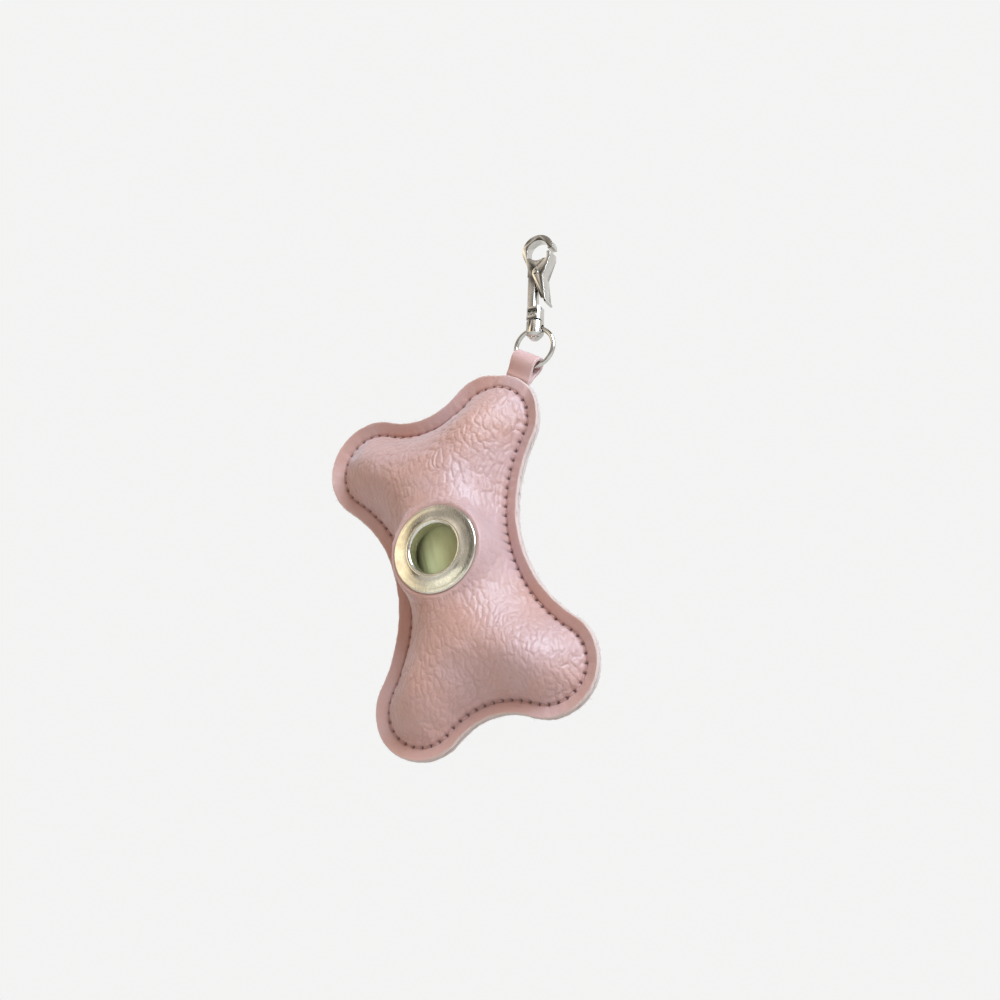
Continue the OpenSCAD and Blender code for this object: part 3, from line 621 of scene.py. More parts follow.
def thread_nodes(n):
    strand = n.noise(n.place(), 4200, 3)
    colour = n.blend(n.spread(strand), rgb(170, 122, 112), rgb(208, 164, 154))
    return colour, n.spread(strand, 0.5, 0.7), strand, 0.5, 0.00008


def fibre_nodes(n):
    tone = n.noise(n.place(), 900, 2)
    return n.blend(tone, rgb(224, 200, 190), rgb(200, 164, 152)), n.spread(tone, 0.7, 0.85)


def metal(name, tint, dull, low_rough, high_rough):
    """Plated metal, clouded and worn towards dull, with fine lines along it."""
    def build(n):
        where = n.place()
        cloud = n.noise(where, 260)
        lines = n.noise(n.place((1, 1, 0.06)), 5200, 3)
        specks = n.noise(where, 1500, 5, 0.65)
        colour = n.blend(n.ramp(cloud, 0.35, 0.7, 0, 0.6), tint, dull)
        colour = n.blend(n.times(n.ramp(specks, 0.52, 0.68), 0.5), colour, dull)
        rough = n.plus(n.spread(cloud, low_rough, high_rough),
                       n.times(n.ramp(lines, 0.45, 0.75), 0.07))
        return colour, rough, n.plus(lines, specks), 0.06, 0.00005
    return material(name, build, Metallic=1.0)


def film_nodes(n):
    """Thin plastic bags, wound in layers and creased along the roll."""
    creases = n.noise(n.place((1, 1, 0.22), (0.2, 0, 0)), 900)
    layers = n.wave(n.place(), 1300, 3.0, wave_type="RINGS", rings_direction="Z")
    colour = n.blend(n.spread(n.noise(n.place(), 120, 3)), rgb(196, 194, 146), rgb(180, 180, 128))
    colour = n.blend(n.ramp(creases, 0.35, 0.65, 0.25, 0), colour, rgb(212, 212, 168))
    colour = n.blend(n.times(layers, 0.12), colour, rgb(150, 152, 104))
    return colour, n.spread(creases, 0.34, 0.5), creases, 0.35, 0.0002


def card_nodes(n):
    """Grey-brown card with the dark line of its spiral joint."""
    fibre = n.noise(n.place((1, 1, 0.3)), 2400, 5)
    spiral = n.wave(n.place(turn=(0.0, 0.9, 0.0)), 34, 0.4, bands_direction="Z")
    colour = n.blend(n.spread(fibre), rgb(186, 158, 122), rgb(156, 126, 92))
    colour = n.blend(n.ramp(spiral, 0.0, 0.06, 0.5, 0.0), colour, rgb(112, 88, 62))
    return colour, n.spread(n.noise(n.place(), 300), 0.78, 0.9), fibre, 0.4, 0.0001


def weave_nodes(n):
    """The zip's woven tape."""
    where = n.place()
    warp = n.wave(where, 620, 0.6, 1.0, bands_direction="X")
    weft = n.wave(where, 520, 0.6, 1.0, bands_direction="Z")
    twill = n.wave(n.place((1, 1, 0.5)), 260, 0.8, bands_direction="DIAGONAL")
    fuzz = n.noise(where, 5000)
    cloth = n.plus(n.times(n.larger(warp, weft), 0.7), n.times(twill, 0.3))
    colour = n.blend(n.ramp(cloth, 0.3, 0.95), rgb(136, 92, 86), rgb(192, 148, 140))
    colour = n.blend(n.spread(fuzz, 0.2, 0), colour, rgb(210, 176, 168))
    return colour, n.spread(fuzz, 0.72, 0.88), n.plus(cloth, n.times(fuzz, 0.2)), 0.6, 0.00012


LEATHER_MAT = material("leather_grained", leather_nodes, Sheen_Weight=0.45, Sheen_Roughness=0.5,
                       Sheen_Tint=COOL_SHEEN, Specular_IOR_Level=0.8)
STRAP_MAT = material("leather_smooth", smooth_leather_nodes, Sheen_Weight=0.2,
                     Sheen_Roughness=0.45, Sheen_Tint=COOL_SHEEN)
THREAD_MAT = material("thread_twisted", thread_nodes, Sheen_Weight=0.15)
EYELET_MAT = metal("eyelet_nickel", rgb(224, 220, 208), rgb(196, 190, 176), 0.16, 0.27)
CHROME_MAT = metal("snap_chrome", rgb(214, 211, 205), rgb(184, 180, 173), 0.09, 0.18)
ZIP_MAT = metal("zip_nickel", rgb(214, 210, 200), rgb(182, 176, 166), 0.2, 0.34)
STEEL_MAT = metal("spring_steel", rgb(190, 190, 192), rgb(150, 150, 154), 0.24, 0.36)
FILM_MAT = material("bag_film", film_nodes, Coat_Weight=0.15, Coat_Roughness=0.3)
CARD_MAT = material("core_card", card_nodes)
TAPE_MAT = material("zip_tape_weave", weave_nodes, Sheen_Weight=0.2)
FIBRE_MAT = material("leather_fibres", fibre_nodes, Sheen_Weight=0.3)


# ---- leather panels
def arc_loop():
    """For points round the cut edge: the arc's centre, its radius there, the sign of an inward
    step on that radius, and the way out from the centre."""
    spacing, rows = 0.28, []
    for *arc_of, start, turn, way in (
            (WAIST_CX, 0, WAIST_R, 1, 0, WAIST_END, lambda t: (-cos(t), sin(t))),
            (LOBE_X, LOBE_Z, LOBE_R, -1, LOBE_FROM, LOBE_TO - LOBE_FROM,
             lambda t: (cos(t), sin(t))),
            (0, NOTCH_CZ, NOTCH_R, 1, NOTCH_END, -NOTCH_END,
             lambda t: (sin(t), -cos(t)))):
        count = round(arc_of[2] * abs(turn) / spacing)
        rows += [(*arc_of, *way(t)) for t in start + np.arange(count) / count * turn]
    rows.append((*arc_of, 0, -1))
    quarter = np.array(rows)
    # each mirrored quarter leaves out the end points that its neighbour has
    flips = []
    for sx, sz, back in ((1, 1, False), (-1, 1, True), (-1, -1, False), (1, -1, True)):
        part = quarter * np.array([sx, sz, 1, 1, sx, sz])
        flips.append(part[::-1][1:] if back else part)
    flips[2] = flips[2][1:]
    flips[3] = flips[3][:-1]
    return np.concatenate(flips)


ARCS = arc_loop()
ROUND = len(ARCS)
INWARD = ARCS[:, 3:4] * ARCS[:, 4:6]


def plan_ring(d):
    """The outline, a distance in from the cut edge."""
    return ARCS[:, 0:2] + (ARCS[:, 2] + ARCS[:, 3] * d)[:, None] * ARCS[:, 4:6]


def ring_insets():
    """Insets of the rings: even steps over the flat allowance, then along the steep side."""
    step, last = 0.27, 6.7
    flat = [0, 0.07, 0.18, 0.34, 0.56] + list(np.arange(0.84, SEAM - 0.3, step))
    flat += [SEAM - 0.28, SEAM - 0.14, SEAM]
    fine = np.linspace(SEAM, last, 2000)
    rise = 14.0 * (1 - (1 - (fine - SEAM) / SIDE_RUN) ** 2.2) ** 0.6
    run = np.concatenate([[0], np.cumsum(np.hypot(np.diff(fine), np.diff(rise)))])
    steep = np.interp(np.arange(0.25, run[-1], step), run, fine)
    return np.array(flat + list(steep))


def loop_stations(loop, pitch):
    """A closed line as a function of the run along it, and its even division into stitches."""
    closed = np.concatenate([loop, loop[:1]])
    length = line_length(closed)
    count = round(length[-1] / pitch)

    def at(run):
        return np.array([np.interp(run % length[-1], length, closed[:, k]) for k in (0, 1)])
    return at, count, length[-1] / count


zip_at, ZIP_STITCHES, ZIP_PITCH = loop_stations(
    slot_loop(SLOT_HALF + 2.2, SLOT_END + 2.0, 2.4, 0.2), 2.5)
SEAM_HOLES = np.array([seam_point(k * PITCH, SEAM)[0] for k in range(STITCHES)])
ZIP_HOLES = np.array([zip_at(k * ZIP_PITCH) for k in range(ZIP_STITCHES)])


def nearest(p, targets):
    """Distance to the nearest of some points."""
    best = np.full(len(p), 1e9)
    for t in targets:
        best = np.minimum(best, np.hypot(p[:, 0] - t[0], p[:, 1] - t[1]))
    return best


def wrinkle(base, d, run, side, calm):
    """Displacement along the normal, in mm, and painted shade for the colour: how deep in a crease
    each point lies, with an even painted shade over the seam allowance. calm is 0 where the leather
    is clamped flat."""
    # the grain: long cells, a finer net between them, and a few wide folds
    warp = columns(*[value_noise(base, 5.0, s) for s in (11, 12, 13)])
    lean = 0.24 if side < 0 else -0.2
    turned = base @ np.array([[cos(lean), 0, sin(lean)], [0, 1, 0],
                              [-sin(lean), 0, cos(lean)]])
    q = (turned + warp) * np.array([1.0, 1.0, 0.42])
    coarse = cells(q, 1.85, 30 + side)
    small = cells(q * np.array([1.0, 1.0, 1.4]) + 0.2 * warp, 1.05, 40 + side)
    folds = cells(base + 1.6 * warp, 7.5, 50 + side)
    vary = 0.5 + 0.5 * value_noise(base, 5.0, 21)
    live = 0.6 + 0.4 * smooth(0.5 + 0.8 * value_noise(base, 14.0, 22))
    live *= 0.7 + 0.3 * smooth((base[:, 0] + 0.3 * base[:, 2] + 25) / 50)
    deep = 0.5 * fade(coarse, 1.7) + 0.5 * fade(coarse, 0.6)
    deep *= 0.4 + 0.6 * vary
    light = fade(small, 0.5)
    fold = fade(folds, 1.1) * smooth(0.15 + 1.2 * value_noise(base, 9.0, 23))
    rise = smooth((d - SEAM - 0.1) / 1.6)
    off = -live * (0.50 * deep + 0.13 * light) * (0.16 + 0.84 * rise)
    off -= 0.24 * fold * rise
    off += 0.22 * value_noise(base, 9.0, 24) * rise + 0.35 * value_noise(base, 22.0, 25) * rise
    # gathers run in from the stitches
    ripple = np.cos(2 * np.pi * run / PITCH)
    off -= 0.07 * ripple * bell(d - SEAM - 0.8, 0.9)
    off -= 0.04 * ripple * bell(d - SEAM + 1.1, 0.8)
    waist = smooth((np.abs(base[:, 2]) - 6) / 12)
    off += (0.24 * run_noise(run, 3.6, 26 + side) * waist
            * smooth((d - SEAM - 0.2) / 1.5) * smooth((13 - d) / 8))
    off += 0.05 * run_noise(run, 1.3, 28) * smooth(d / 1.2) * (1 - rise)
    # painted shade for the colour: deeper in the creases, and even over the seam allowance
    painted_shade = clamp01(live * (0.7 * deep + 0.3 * light) + 0.4 * fold) * rise + 0.2 * (1 - rise)
    return off * calm, painted_shade * calm


def grain_side(side, opening, open_gap):
    """The outer surface of a panel: points, marks, faces, and where the opening's points start."""
    insets = ring_insets()
    rings = [plan_ring(d) for d in insets]
    on_rings = len(insets) * ROUND
    grid, tris = fill_plan(rings[-1], opening, 0.25 if side < 0 else 0.3,
                           lambda p: np.minimum(edge_place(p)[0] - insets[-1], open_gap(p)))
    plan = np.concatenate(rings + [opening, grid])
    # the fill's own numbering starts at the last ring
    faces = [f[::-1] for f in band(len(insets), ROUND)]
    faces += [tuple(t) for t in tris + on_rings - ROUND]

    d, run = edge_place(plan)
    d[:on_rings] = np.repeat(insets, ROUND)
    gap = open_gap(plan)
    h = height(plan, side, 0)
    h -= 0.35 * fade(gap, 0.5, 2.2)
    if side < 0:
        # the flange presses in, and the leather swells round it
        far = np.hypot(plan[:, 0], plan[:, 1])
        h += 0.22 * bell(far - FLANGE_R - 1.1, 0.9) - 0.12 * smooth((FLANGE_R + 0.5 - far) / 0.6)
        calm = smooth((far - FLANGE_R - 0.1) / 1.6)
    else:
        calm = 0.15 + 0.85 * smooth((gap - 3.2) / 3)
    base = columns(plan[:, 0], side * h + flutter(plan, d, run), plan[:, 1])
    if side > 0:
        faces = [f[::-1] for f in faces]
    normal = normals_of(base, faces)
    if np.mean(normal[:, 1] * side) < 0:
        faces = [f[::-1] for f in faces]
        normal = -normal
    off, painted_shade = wrinkle(base, d, run, side, calm)
    # a pale band at the cut edge: the raw edge's own colour, and on the grain side partly a painted
    # rim highlight
    holes, cut = nearest(plan, SEAM_HOLES), 0.9 * bell(d, 0.26)
    if side > 0:
        holes = np.minimum(holes, nearest(plan, ZIP_HOLES))
        cut = np.maximum(cut, 0.8 * bell(np.maximum(gap, 0), 0.3))
    off -= 0.30 * bell(holes, 0.36)
    base += normal * off[:, None]
    ragged = value_noise(base * np.array([1, 0.6, 1]), 0.7, 61) + value_noise(base, 2.4, 62)
    outward = np.zeros_like(base)
    outward[:on_rings, 0::2] = np.tile(-INWARD, (len(insets), 1))
    base += outward * (0.09 * ragged * smooth((0.9 - d) / 0.9))[:, None]
    # its marks: painted shade, the pale cut edge, and painted shade at the needle holes
    return base, columns(painted_shade, cut, 0.85 * bell(holes, 0.30)), faces, on_rings


def flesh_side(side, opening, open_gap):
    """The inner surface of a panel, which is coarser: its points and triangles."""
    outer = plan_ring(0.0)
    grid, tris = fill_plan(outer, opening, 1.3,
                           lambda p: np.minimum(edge_place(p)[0], open_gap(p)))
    plan = np.concatenate([outer, opening, grid])
    h = height(plan, side, 1)
    h[:ROUND] = 0.5 * strap_zone(outer, np.zeros(ROUND))
    h += 0.02
    y = side * h + flutter(plan, *edge_place(plan))
    return columns(plan[:, 0], y, plan[:, 1]), tris


def leather_panel(name, node, side, opening, open_gap):
    """A stuffed panel as one closed mesh: the grain side, the flesh side, and the cut edges that
    join them round the outline and round the opening."""
    base, marks, facing, opening_at = grain_side(side, opening, open_gap)
    flesh, flesh_tris = flesh_side(side, opening, open_gap)
    points, all_marks = [base], [marks]
    rim_rows = 5
    for k in range(1, rim_rows):
        t = k / rim_rows
        row = mix(base[:ROUND], flesh[:ROUND], t)
        rough = value_noise(row * np.array([1, 2.5, 1]), 0.6, 63)
        bulge = 0.16 * sin(pi * t) + 0.1 * rough
        bulge -= 0.16 * t ** 5
        row[:, 0::2] -= bulge[:, None] * INWARD
        points.append(row)
        all_marks.append(np.tile([0.0, 1.0, 0.0], (ROUND, 1)))
    flesh[:ROUND, 0::2] += 0.2 * INWARD
    # the flesh side: even painted shade as on the seam allowance, the cut colour, and painted shade
    # along the outline where the panels meet
    flesh_marks = np.tile([0.2, 1.0, 0.0], (len(flesh), 1))
    flesh_marks[:ROUND, 2] = 0.4
    points.append(flesh)
    all_marks.append(flesh_marks)

    # the outline's rows from the grain side down, then the opening's two, by first points
    starts = [0] + [len(base) + k * ROUND for k in range(rim_rows)]
    foot_at = starts[-1]
    wall = []
    for upper, lower in zip(starts, starts[1:]):
        for i in range(ROUND):
            j = (i + 1) % ROUND
            wall.append((upper + i, upper + j, lower + j, lower + i))
    low_at = foot_at + ROUND
    for i in range(len(opening)):
        j = (i + 1) % len(opening)
        wall.append((opening_at + j, opening_at + i, low_at + i, low_at + j))
    wall += [tuple(t[::-1] + foot_at) for t in flesh_tris]
    if side > 0:
        wall = [f[::-1] for f in wall]
    obj = new_object(name, (np.concatenate(points), facing + wall), "pouch",
                     LEATHER_MAT, [node])
    set_marks(obj, np.concatenate(all_marks))


leather_panel("front_leather", "front_panel", -1,
              circle_loop(HOLE_R + SHEET + HOLE_GAP, 160),
              lambda p: np.hypot(p[:, 0], p[:, 1]) - HOLE_R - SHEET - HOLE_GAP)
leather_panel("back_leather", "back_panel", 1,
              slot_loop(SLOT_HALF, SLOT_END, SLOT_CORNER, 0.35), slot_gap)


# ---- stitches
def surface_y(plan, side):
    """Where a stitch lies on the leather."""
    p = np.atleast_2d(plan)
    d, run = edge_place(p)
    return float((side * height(p, side, 0) + flutter(p, d, run))[0])


def twisted_tubes(paths, radius):
    """Short lengths of two-ply thread along paths of equal point count."""
    sides, plies, turns = 10, 2, 1.1
    points, faces = [], []
    for path in paths:
        path = np.array(path)
        n = len(path)
        tangent = unit_rows(np.gradient(path, axis=0))
        side_way = unit_rows(np.cross(tangent, np.array([0.03, 1.0, 0.02])))
        up = np.cross(side_way, tangent)
        first = len(points)
        for i in range(n):
            taper = 0.75 if i in (0, n - 1) else 1.0
            twist = 2 * pi * turns * i / (n - 1)
            for k in range(sides):
                a = 2 * pi * k / sides
                r = radius * taper * (1 + 0.14 * cos(plies * (a - twist)))
                points.append(path[i] + r * (cos(a) * side_way[i] + sin(a) * up[i]))
        faces += capped(n, sides, first)
    return np.array(points), faces


def stitch_paths(count, pitch, steps, point_at):
    """The line of each stitch of a row. point_at() takes the run along the row, and a number
    from 0 to 1 along the stitch."""
    times = [i / (steps - 1) for i in range(steps)]
    return [[point_at((k + 0.1 + 0.8 * t) * pitch, t) for t in times] for k in range(count)]


def sink(t):
    """How far a stitch has gone down towards its needle holes: 1 at its ends."""
    return abs(2 * t - 1) ** 3.5


def seam_thread(side):
    def point_at(run, t):
        point, inward = seam_point(run, SEAM)
        point = point + inward * (0.14 * (t - 0.5) * 2 * (1 if side < 0 else -1))
        under = surface_y(seam_point(run, SEAM - 0.05)[0], side)
        return [point[0], under + side * (0.20 - 0.56 * sink(t)), point[1]]
    return twisted_tubes(stitch_paths(STITCHES, PITCH, 11, point_at), 0.25)


def zip_point(run, t):
    x, z = zip_at(run)
    return [x, BACK_H + 0.2 - 0.55 * sink(t), z]


for name, shape in (
        ("seam_thread_front", seam_thread(-1)), ("seam_thread_back", seam_thread(1)),
        ("zip_thread", twisted_tubes(stitch_paths(ZIP_STITCHES, ZIP_PITCH, 9, zip_point), 0.27))):
    new_object(name, shape, "pouch", THREAD_MAT)


# ---- loose fibres on the cut edge
def edge_fibres():
    """Short bent hairs, three-sided and pointed."""
    points, faces = [], []
    for _ in range(1500):
        run = rng.uniform(0, 4 * QUARTER)
        cut, inward = seam_point(run, 0.0)
        side = rng.choice((-1, 1))
        level = rng.uniform(0.1, LEATHER - 0.3)
        plan = np.atleast_2d(cut)
        y = side * level + float(flutter(plan, *edge_place(plan))[0])
        root = np.array([cut[0] + inward[0] * 0.05, y, cut[1] + inward[1] * 0.05])
        way = np.array([-inward[0], rng.normal(0, 0.5), -inward[1]])
        way += rng.normal(0, 0.55, 3)
        way /= np.linalg.norm(way)
        length = rng.uniform(0.2, 0.5) if rng.random() < 0.85 else rng.uniform(0.5, 1.3)
        bend = rng.normal(0, 0.14, 3)
        width = rng.uniform(0.03, 0.065)
        u = np.cross(way, [0.3, 1.0, 0.2])
        u /= np.linalg.norm(u)
        v = np.cross(way, u)
        first = len(points)
        for t, w in ((0.0, 1.0), (0.5, 0.8)):
            mid = root + way * length * t + bend * t * t
            for k in range(3):
                a = 2 * pi * k / 3
                points.append(mid + width * w * (cos(a) * u + sin(a) * v))
        points.append(root + way * length + bend)
        faces.append((first + 2, first + 1, first))
        for k in range(3):
            j = (k + 1) % 3
            faces.append((first + k, first + j, first + 3 + j, first + 3 + k))
            faces.append((first + 3 + k, first + 3 + j, first + 6))
    return np.array(points), faces


new_object("edge_fibres", edge_fibres(), "pouch", FIBRE_MAT)


# ---- eyelet
def arc(cx, cy, r, a0, a1, steps):
    return [(cx + r * cos(radians(a)), cy + r * sin(radians(a)))
            for a in np.linspace(a0, a1, steps)]


def rolled_eyelet():
    """One pressed sheet: the rolled lip, the flange that slopes to the leather, the barrel, and
    the end that is riveted over behind the panel."""
    count = 192
    crest = (HOLE_R + 0.9, FRONT_H + EYELET_LIP - 0.9)
    behind = FRONT_H - LEATHER - SHEET
    profile = arc(*crest, 0.9, 180, 62, 12)
    profile += [(r, FRONT_H + h) for r, h in ((8.9, 1.13), (9.6, 0.98), (10.4, 0.82), (11.2, 0.66))]
    profile += arc(11.95, FRONT_H + 0.12, 0.52, 78, -12, 9)
    profile += [(11.9, FRONT_H + 0.02), (11.2, FRONT_H + 0.12)]
    profile += arc(*crest, 0.4, 62, 180, 8)
    profile += [(HOLE_R + SHEET, behind + 0.1)]
    profile += arc(HOLE_R + 0.7, behind, 0.7, 0, -180, 9)
    points = []
    for r, along in profile[::-1]:
        for k in range(count):
            a = 2 * pi * k / count
            points.append((r * cos(a), -along, r * sin(a)))
    return points, looped(len(profile), count)


new_object("eyelet_rolled", rolled_eyelet(), "pouch", EYELET_MAT, ["eyelet"], 50)


# ---- bag roll
def film_roll():
    """The wound bags: uneven rings on both ends, and a creased skin with the loose end's step."""
    around, along, rings_in = 240, 120, 46
    half = ROLL_LEN / 2

    def end_rings(sign, seed):
        return [(mix(CORE_R + 0.05, ROLL_R - 0.1, k / (rings_in - 1)),
                 sign * (half - 0.12 - 0.16 * lattice(np.array([k, 7, seed]), 3)))
                for k in range(rings_in)]
    profile = [(CORE_R + 0.02, -half + 0.3)] + end_rings(-1, 1)
    for k in range(along + 1):
        profile.append((ROLL_R - 0.03, -half + 0.08 + (2 * half - 0.16) * k / along))
    profile += end_rings(1, 2)[::-1] + [(CORE_R + 0.02, half - 0.3)]
    profile = np.array(profile)
    r = np.repeat(profile[:, 0], around)
    z = np.repeat(profile[:, 1], around)
    a = np.tile(np.arange(around) * 2 * np.pi / around, len(profile))
    skin = columns(14 * np.cos(a), 14 * np.sin(a), z * 0.25)
    outer = r > ROLL_R - 0.06
    creased = bell(cells(skin, 6.0, 71), 0.5)
    r = r - outer * (0.10 * creased + 0.10 * clamp01(0.5 + value_noise(skin, 3.0, 72)))
    winding = ((a - 1.9) % (2 * np.pi)) / (2 * np.pi)
    r = r - outer * 0.16 * winding
    spiral = np.sin((r - 2.0 * winding) * 5.2) * 0.05
    z = z - np.sign(z) * (~outer) * (0.06 + spiral)
    points = columns(r * np.cos(a), ROLL_Y + r * np.sin(a), z)
    return points, looped(len(profile), around)


new_object("film_roll", film_roll(), "roll", FILM_MAT, ["bag_roll"], 40)


# ---- zip tapes
def tape(node):
    """A woven strip in the CAD tape's box, ribbed across and thinner at its two edges."""
    lo, hi = box_mm(node)
    across, along = 15, 150
    mid, half_t = (lo[1] + hi[1]) / 2, (hi[1] - lo[1]) / 2
    there = [lo[0] + (hi[0] - lo[0]) * i / across for i in range(across + 1)]
    section = [(x, 1) for x in there] + [(x, -1) for x in there[::-1]]
    points = []
    for k in range(along + 1):
        z = lo[2] + (hi[2] - lo[2]) * k / along
        for i, (x, s) in enumerate(section):
            inset = min(i % (across + 1), across - i % (across + 1))
            thick = half_t * (0.72 if inset == 0 else 0.95)
            rib = 0.025 * sin(z * 2 * pi / 0.95 + (i % 2) * pi)
            points.append((x, mid + s * (thick + min(rib, 0)), z))
    return points, capped(along + 1, len(section))


for name, node in (("tape_left", "zip_tape_left"), ("tape_right", "zip_tape_right")):
    new_object(name, tape(node), "pouch", TAPE_MAT, [node], 60)


# ---- strap. It is folded round the ring, and the ring sets its eye
SNAP_DIR = np.array([sin(STRAP_ANGLE), 0, cos(STRAP_ANGLE)])
SNAP_ACROSS = np.array([cos(STRAP_ANGLE), 0, -sin(STRAP_ANGLE)])
STRAP_BASE = np.array([LOBE_X, 0, LOBE_Z]) + LOBE_R * SNAP_DIR
RING_LO, RING_HI = box_mm("swivel_ring")
RING_C = (RING_LO + RING_HI) / 2
RING_OUT = (RING_HI[0] - RING_LO[0]) / 2
WIRE_R = (RING_HI[1] - RING_LO[1]) / 2
NEAR_R = sqrt((RING_OUT - 2 * WIRE_R) ** 2 - (STRAP_W / 2) ** 2)
EYE_R = (RING_OUT - NEAR_R) / 2 + 0.05
EYE_S = float(np.dot(RING_C - STRAP_BASE, SNAP_DIR)) - (RING_OUT + NEAR_R) / 2


def folded_strap():
    """The strap's points, faces and marks: a strip with rounded edges along a folded line."""
    fold = EYE_R + STRAP_T / 2
    tail_in, tail_t = 5.6, 0.46
    line = []
    for s in np.linspace(-tail_in, EYE_S, 60):
        thick = mix(tail_t, STRAP_T, float(smooth((s + 0.6) / 1.6)))
        y = thick / 2 + 0.01 + (fold - STRAP_T / 2) * float(smooth((s - 0.8) / (EYE_S - 0.8)))
        line.append((-y, s, thick))
    turn = [(-fold * cos(a), EYE_S + fold * sin(a), STRAP_T)
            for a in np.linspace(0, pi, 25)[1:-1]]
    line = np.array(line + turn + [(-y, s, thick) for y, s, thick in line[::-1]])
    centre = line[:, :2]
    tangent = unit_rows(np.gradient(centre, axis=0))
    outward = columns(-tangent[:, 1], tangent[:, 0])
    corner_points, round_r = 5, 0.28
    points, marks = [], []
    for k, (y, s, thick) in enumerate(line):
        half_w = STRAP_W / 2 - 0.04 + 0.05 * sin(s * 1.1 + 0.5)
        half_t = thick / 2
        rr = min(round_r, half_t * 0.9)
        # section: a rounded strip, outside first
        section = []
        for cx, cy, start in CORNERS:
            for c in range(corner_points):
                a = radians(start + 90 * c / (corner_points - 1))
                section.append((cx * (half_w - rr) + rr * cos(a),
                                cy * (half_t - rr) + rr * sin(a)))
            if cx == cy:
                for f in (0.25, 0.5, 0.75):
                    section.append((cx * (half_w - rr) * (1 - 2 * f), cy * half_t))
            else:
                section.append((cx * half_w, 0.0))
        for across, through in section:
            wave = 0.05 * float(value_noise(np.array([[across, s, y]]), 3.0, 81)[0])
            flat = centre[k] + outward[k] * (through + wave)
            p = STRAP_BASE + SNAP_DIR * flat[1] + SNAP_ACROSS * across
            p[1] = flat[0]
            points.append(p)
            marks.append((0.0, 1.0 if abs(across) > half_w - rr * 0.6 else 0.0, 0.0))
    return points, capped(len(line), len(section)), np.array(marks)


*strap_shape, strap_marks = folded_strap()
set_marks(new_object("folded_strap", strap_shape, "pouch", STRAP_MAT,
                     ["hanging_strap"], 60), strap_marks)


# ---- metal pieces of the frame
def polished(node, name, body, mat, slot, bevel):
    """A copy of a CAD node with its edges broken, which then stands for it."""
    source = frame["nodes"][node]
    mesh = source.data.copy()
    mesh.name = name
    work = bmesh.new()
    work.from_mesh(mesh)
    bmesh.ops.remove_doubles(work, verts=work.verts, dist=2e-6)
    bmesh.ops.dissolve_limit(work, angle_limit=radians(0.6), verts=work.verts,
                             edges=work.edges)
    work.to_mesh(mesh)
    work.free()
    mesh.materials.clear()
    mesh.materials.append(mat)
    mesh.shade_smooth()
    obj = link(name, mesh)
    obj.matrix_world = source.matrix_world.copy()
    mod = obj.modifiers.new("edges", "BEVEL")
    mod.width = bevel * MM
    mod.segments = 3
    mod.limit_method = "ANGLE"
    mod.angle_limit = radians(30)
    mod.harden_normals = True
    mod.use_clamp_overlap = True
    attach(obj, body)
    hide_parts(node)


for mat, slot, rows in (
        (CHROME_MAT, "snap_chrome", (
            ("hook_body", "snap_body", "hook", 0.16),
            ("trigger_lever", "snap_lever", "lever", 0.14),
            ("lever_pin", "snap_pin", "lever", 0.07),
            ("swivel_barrel", "snap_barrel", "barrel", 0.12),
            ("swivel_rivet", "snap_rivet", "barrel", 0.12))),
        (ZIP_MAT, "zip_metal", (
            ("zip_slider", "slider_cast", "slider", 0.12),
            ("zip_pull", "pull_cast", "pull", 0.14),
            ("zip_teeth_left", "teeth_left", "pouch", 0.08),
            ("zip_teeth_right", "teeth_right", "pouch", 0.08),
            ("zip_top_stops", "stops_top", "pouch", 0.15),
            ("zip_bottom_stop", "stop_bottom", "pouch", 0.15))),
        (EYELET_MAT, "eyelet_metal", (
            ("eyelet_washer", "washer_pressed", "pouch", 0.1),))):
    for node, name, body, bevel in rows:
        polished(node, name, body, mat, slot, bevel)


def wire_ring():
    """The ring's wire, with its butt joint a little open."""
    around, sides, joint, gap = 300, 28, radians(200), 0.012
    centre_r = RING_OUT - WIRE_R
    points = []
    for k in range(around):
        a = joint + gap + (2 * pi - 2 * gap) * k / (around - 1)
        end = min(k, around - 1 - k)
        r = WIRE_R * (0.82 if end == 0 else 0.96 if end == 1 else 1.0) - 0.01
        for j in range(sides):
            b = 2 * pi * j / sides
            rad = centre_r + r * cos(b)
            points.append(RING_C + np.array([rad * cos(a), r * sin(b),
                                             rad * sin(a)]))
    return points, capped(around, sides)


new_object("ring_wire", wire_ring(), "ring", CHROME_MAT, ["swivel_ring"], 50)

for node, mat in (("roll_core", CARD_MAT), ("trigger_spring", STEEL_MAT)):
    obj = frame["nodes"][node]
    obj.data.materials.clear()
    obj.data.materials.append(mat)


# ---- faces outwards on all pieces made here
def face_out(obj):
    work = bmesh.new()
    work.from_mesh(obj.data)
    bmesh.ops.recalc_face_normals(work, faces=work.faces)
    work.to_mesh(obj.data)
    work.free()


for piece in bpy.context.scene.objects:
    if piece.type == "MESH" and "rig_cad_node" not in piece:
        face_out(piece)


# ---- stage, light, camera, in metres
WALL_SHOWN = (0.90, 0.90, 0.895, 1)


def pale_material(name, colour, share=1.0):
    """A pale diffuse surface that camera, mirror and glass rays see, by a share, as WALL_SHOWN."""
    mat = bpy.data.materials.new(name)
    mat.use_nodes = True
    n = Nodes(mat.node_tree)
    diffuse = n.add("BsdfDiffuse", {"Color": colour})
    glow = n.add("Emission", {"Color": WALL_SHOWN, "Strength": 1.0})
    path = n.add("LightPath").outputs
    seen = n.larger(path["Is Camera Ray"],
                    n.larger(path["Is Glossy Ray"], path["Is Transmission Ray"]))
    mixed = n.add("MixShader", {0: n.times(seen, share), 1: diffuse.outputs[0],
                                2: glow.outputs[0]})
    n.add("OutputMaterial", {0: mixed.outputs[0]})
    return mat


REACH = 3
CORNER_Y, CORNER_Z = 1.3, -0.42             # where the wall meets the floor


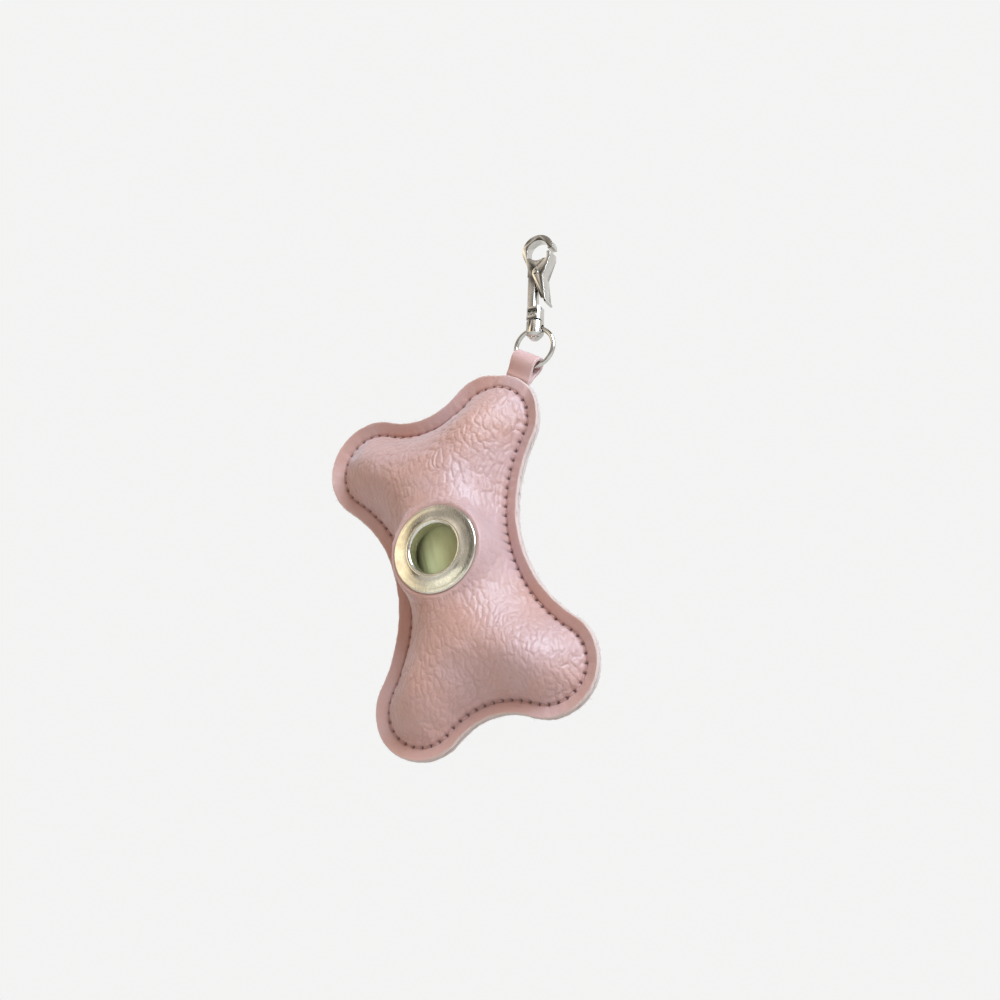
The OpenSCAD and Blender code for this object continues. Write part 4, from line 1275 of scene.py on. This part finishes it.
def stage_plane(name, y0, z0, y1, z1, mat):
    mesh = bpy.data.meshes.new(name)
    mesh.from_pydata([(-REACH, y0, z0), (REACH, y0, z0), (REACH, y1, z1), (-REACH, y1, z1)],
                     [], [(0, 1, 2, 3)])
    obj = link(name, mesh)
    obj.data.materials.append(mat)


stage_plane("floor", -REACH, CORNER_Z, CORNER_Y, CORNER_Z,
            pale_material("floor_pale", (0.80, 0.80, 0.79, 1), 0.6))
stage_plane("backdrop", CORNER_Y, CORNER_Z, CORNER_Y, REACH,
            pale_material("backdrop_pale", (0.85, 0.85, 0.84, 1)))

# the world is shown plain, and lights as a room does: uneven, warm and brighter from above
world = bpy.data.worlds.new("studio")
bpy.context.scene.world = world
world.use_nodes = True
sky = Nodes(world.node_tree)
shown = sky.add("Background", {"Color": WALL_SHOWN, "Strength": 1.0})
facing = sky.add("TexCoord").outputs["Generated"]
room = sky.ramp(sky.noise(facing, 1.9, 2.0, 0.45), 0.42, 0.58, 0.05, 0.84)
lift = sky.ramp(sky.add("SeparateXYZ", {0: facing}).outputs[2], -0.6, 0.8, 0.62, 1.3)
lit = sky.add("Background", {"Color": (1.0, 0.91, 0.82, 1), "Strength": sky.times(room, lift)})
both = sky.add("MixShader", {0: sky.add("LightPath").outputs["Is Camera Ray"],
                             1: lit.outputs[0], 2: shown.outputs[0]})
sky.add("OutputWorld", {0: both.outputs[0]})

POUCH_C = Vector(CENTRE)


def area_light(name, offset, size, power, colour):
    """A soft light at an offset from the pouch, turned towards it."""
    data = bpy.data.lights.new(name, "AREA")
    data.shape = "RECTANGLE"
    data.size, data.size_y = size
    data.energy = power
    data.color = colour
    obj = link(name, data)
    obj.location = POUCH_C + Vector(offset)
    obj.rotation_mode = "QUATERNION"
    obj.rotation_quaternion = (-Vector(offset)).to_track_quat("-Z", "Y")


area_light("key_window", (0.82, -0.44, 0.44), (0.55, 0.7), 15.5, (0.64, 0.83, 1.0))
area_light("warm_card", (-0.70, -0.71, 0.45), (0.6, 0.6), 1.0, (1.0, 0.84, 0.50))
area_light("cream_card", (-0.35, -1.03, 0.03), (0.4, 0.25), 0.55, (1.0, 1.0, 0.88))
area_light("warm_fill", (-0.45, -0.65, -0.75), (0.7, 0.7), 2.2, (1.0, 0.70, 0.47))

# the camera's place and direction were fitted to the pouch's outline in the photograph
CAMERA_FROM_POUCH = Vector((0.1512, -0.3568, -0.1568))
CAMERA_AHEAD = Vector((-0.3247, 0.8531, 0.4084))
CAMERA_UP = Vector((0.3504, -0.2925, 0.8897))

camera_data = bpy.data.cameras.new("camera")
camera_data.sensor_width = 36
camera_data.lens = 54
camera_data.clip_start, camera_data.clip_end = 0.01, 20
camera = link("camera", camera_data)
forward = CAMERA_AHEAD.normalized()
right = forward.cross(CAMERA_UP.normalized()).normalized()
camera.matrix_world = Matrix((right, right.cross(forward), -forward)).transposed().to_4x4()
camera.location = POUCH_C + CAMERA_FROM_POUCH
bpy.context.scene.camera = camera

bpy.context.scene.view_settings.view_transform = "Standard"

bpy.context.view_layer.update()
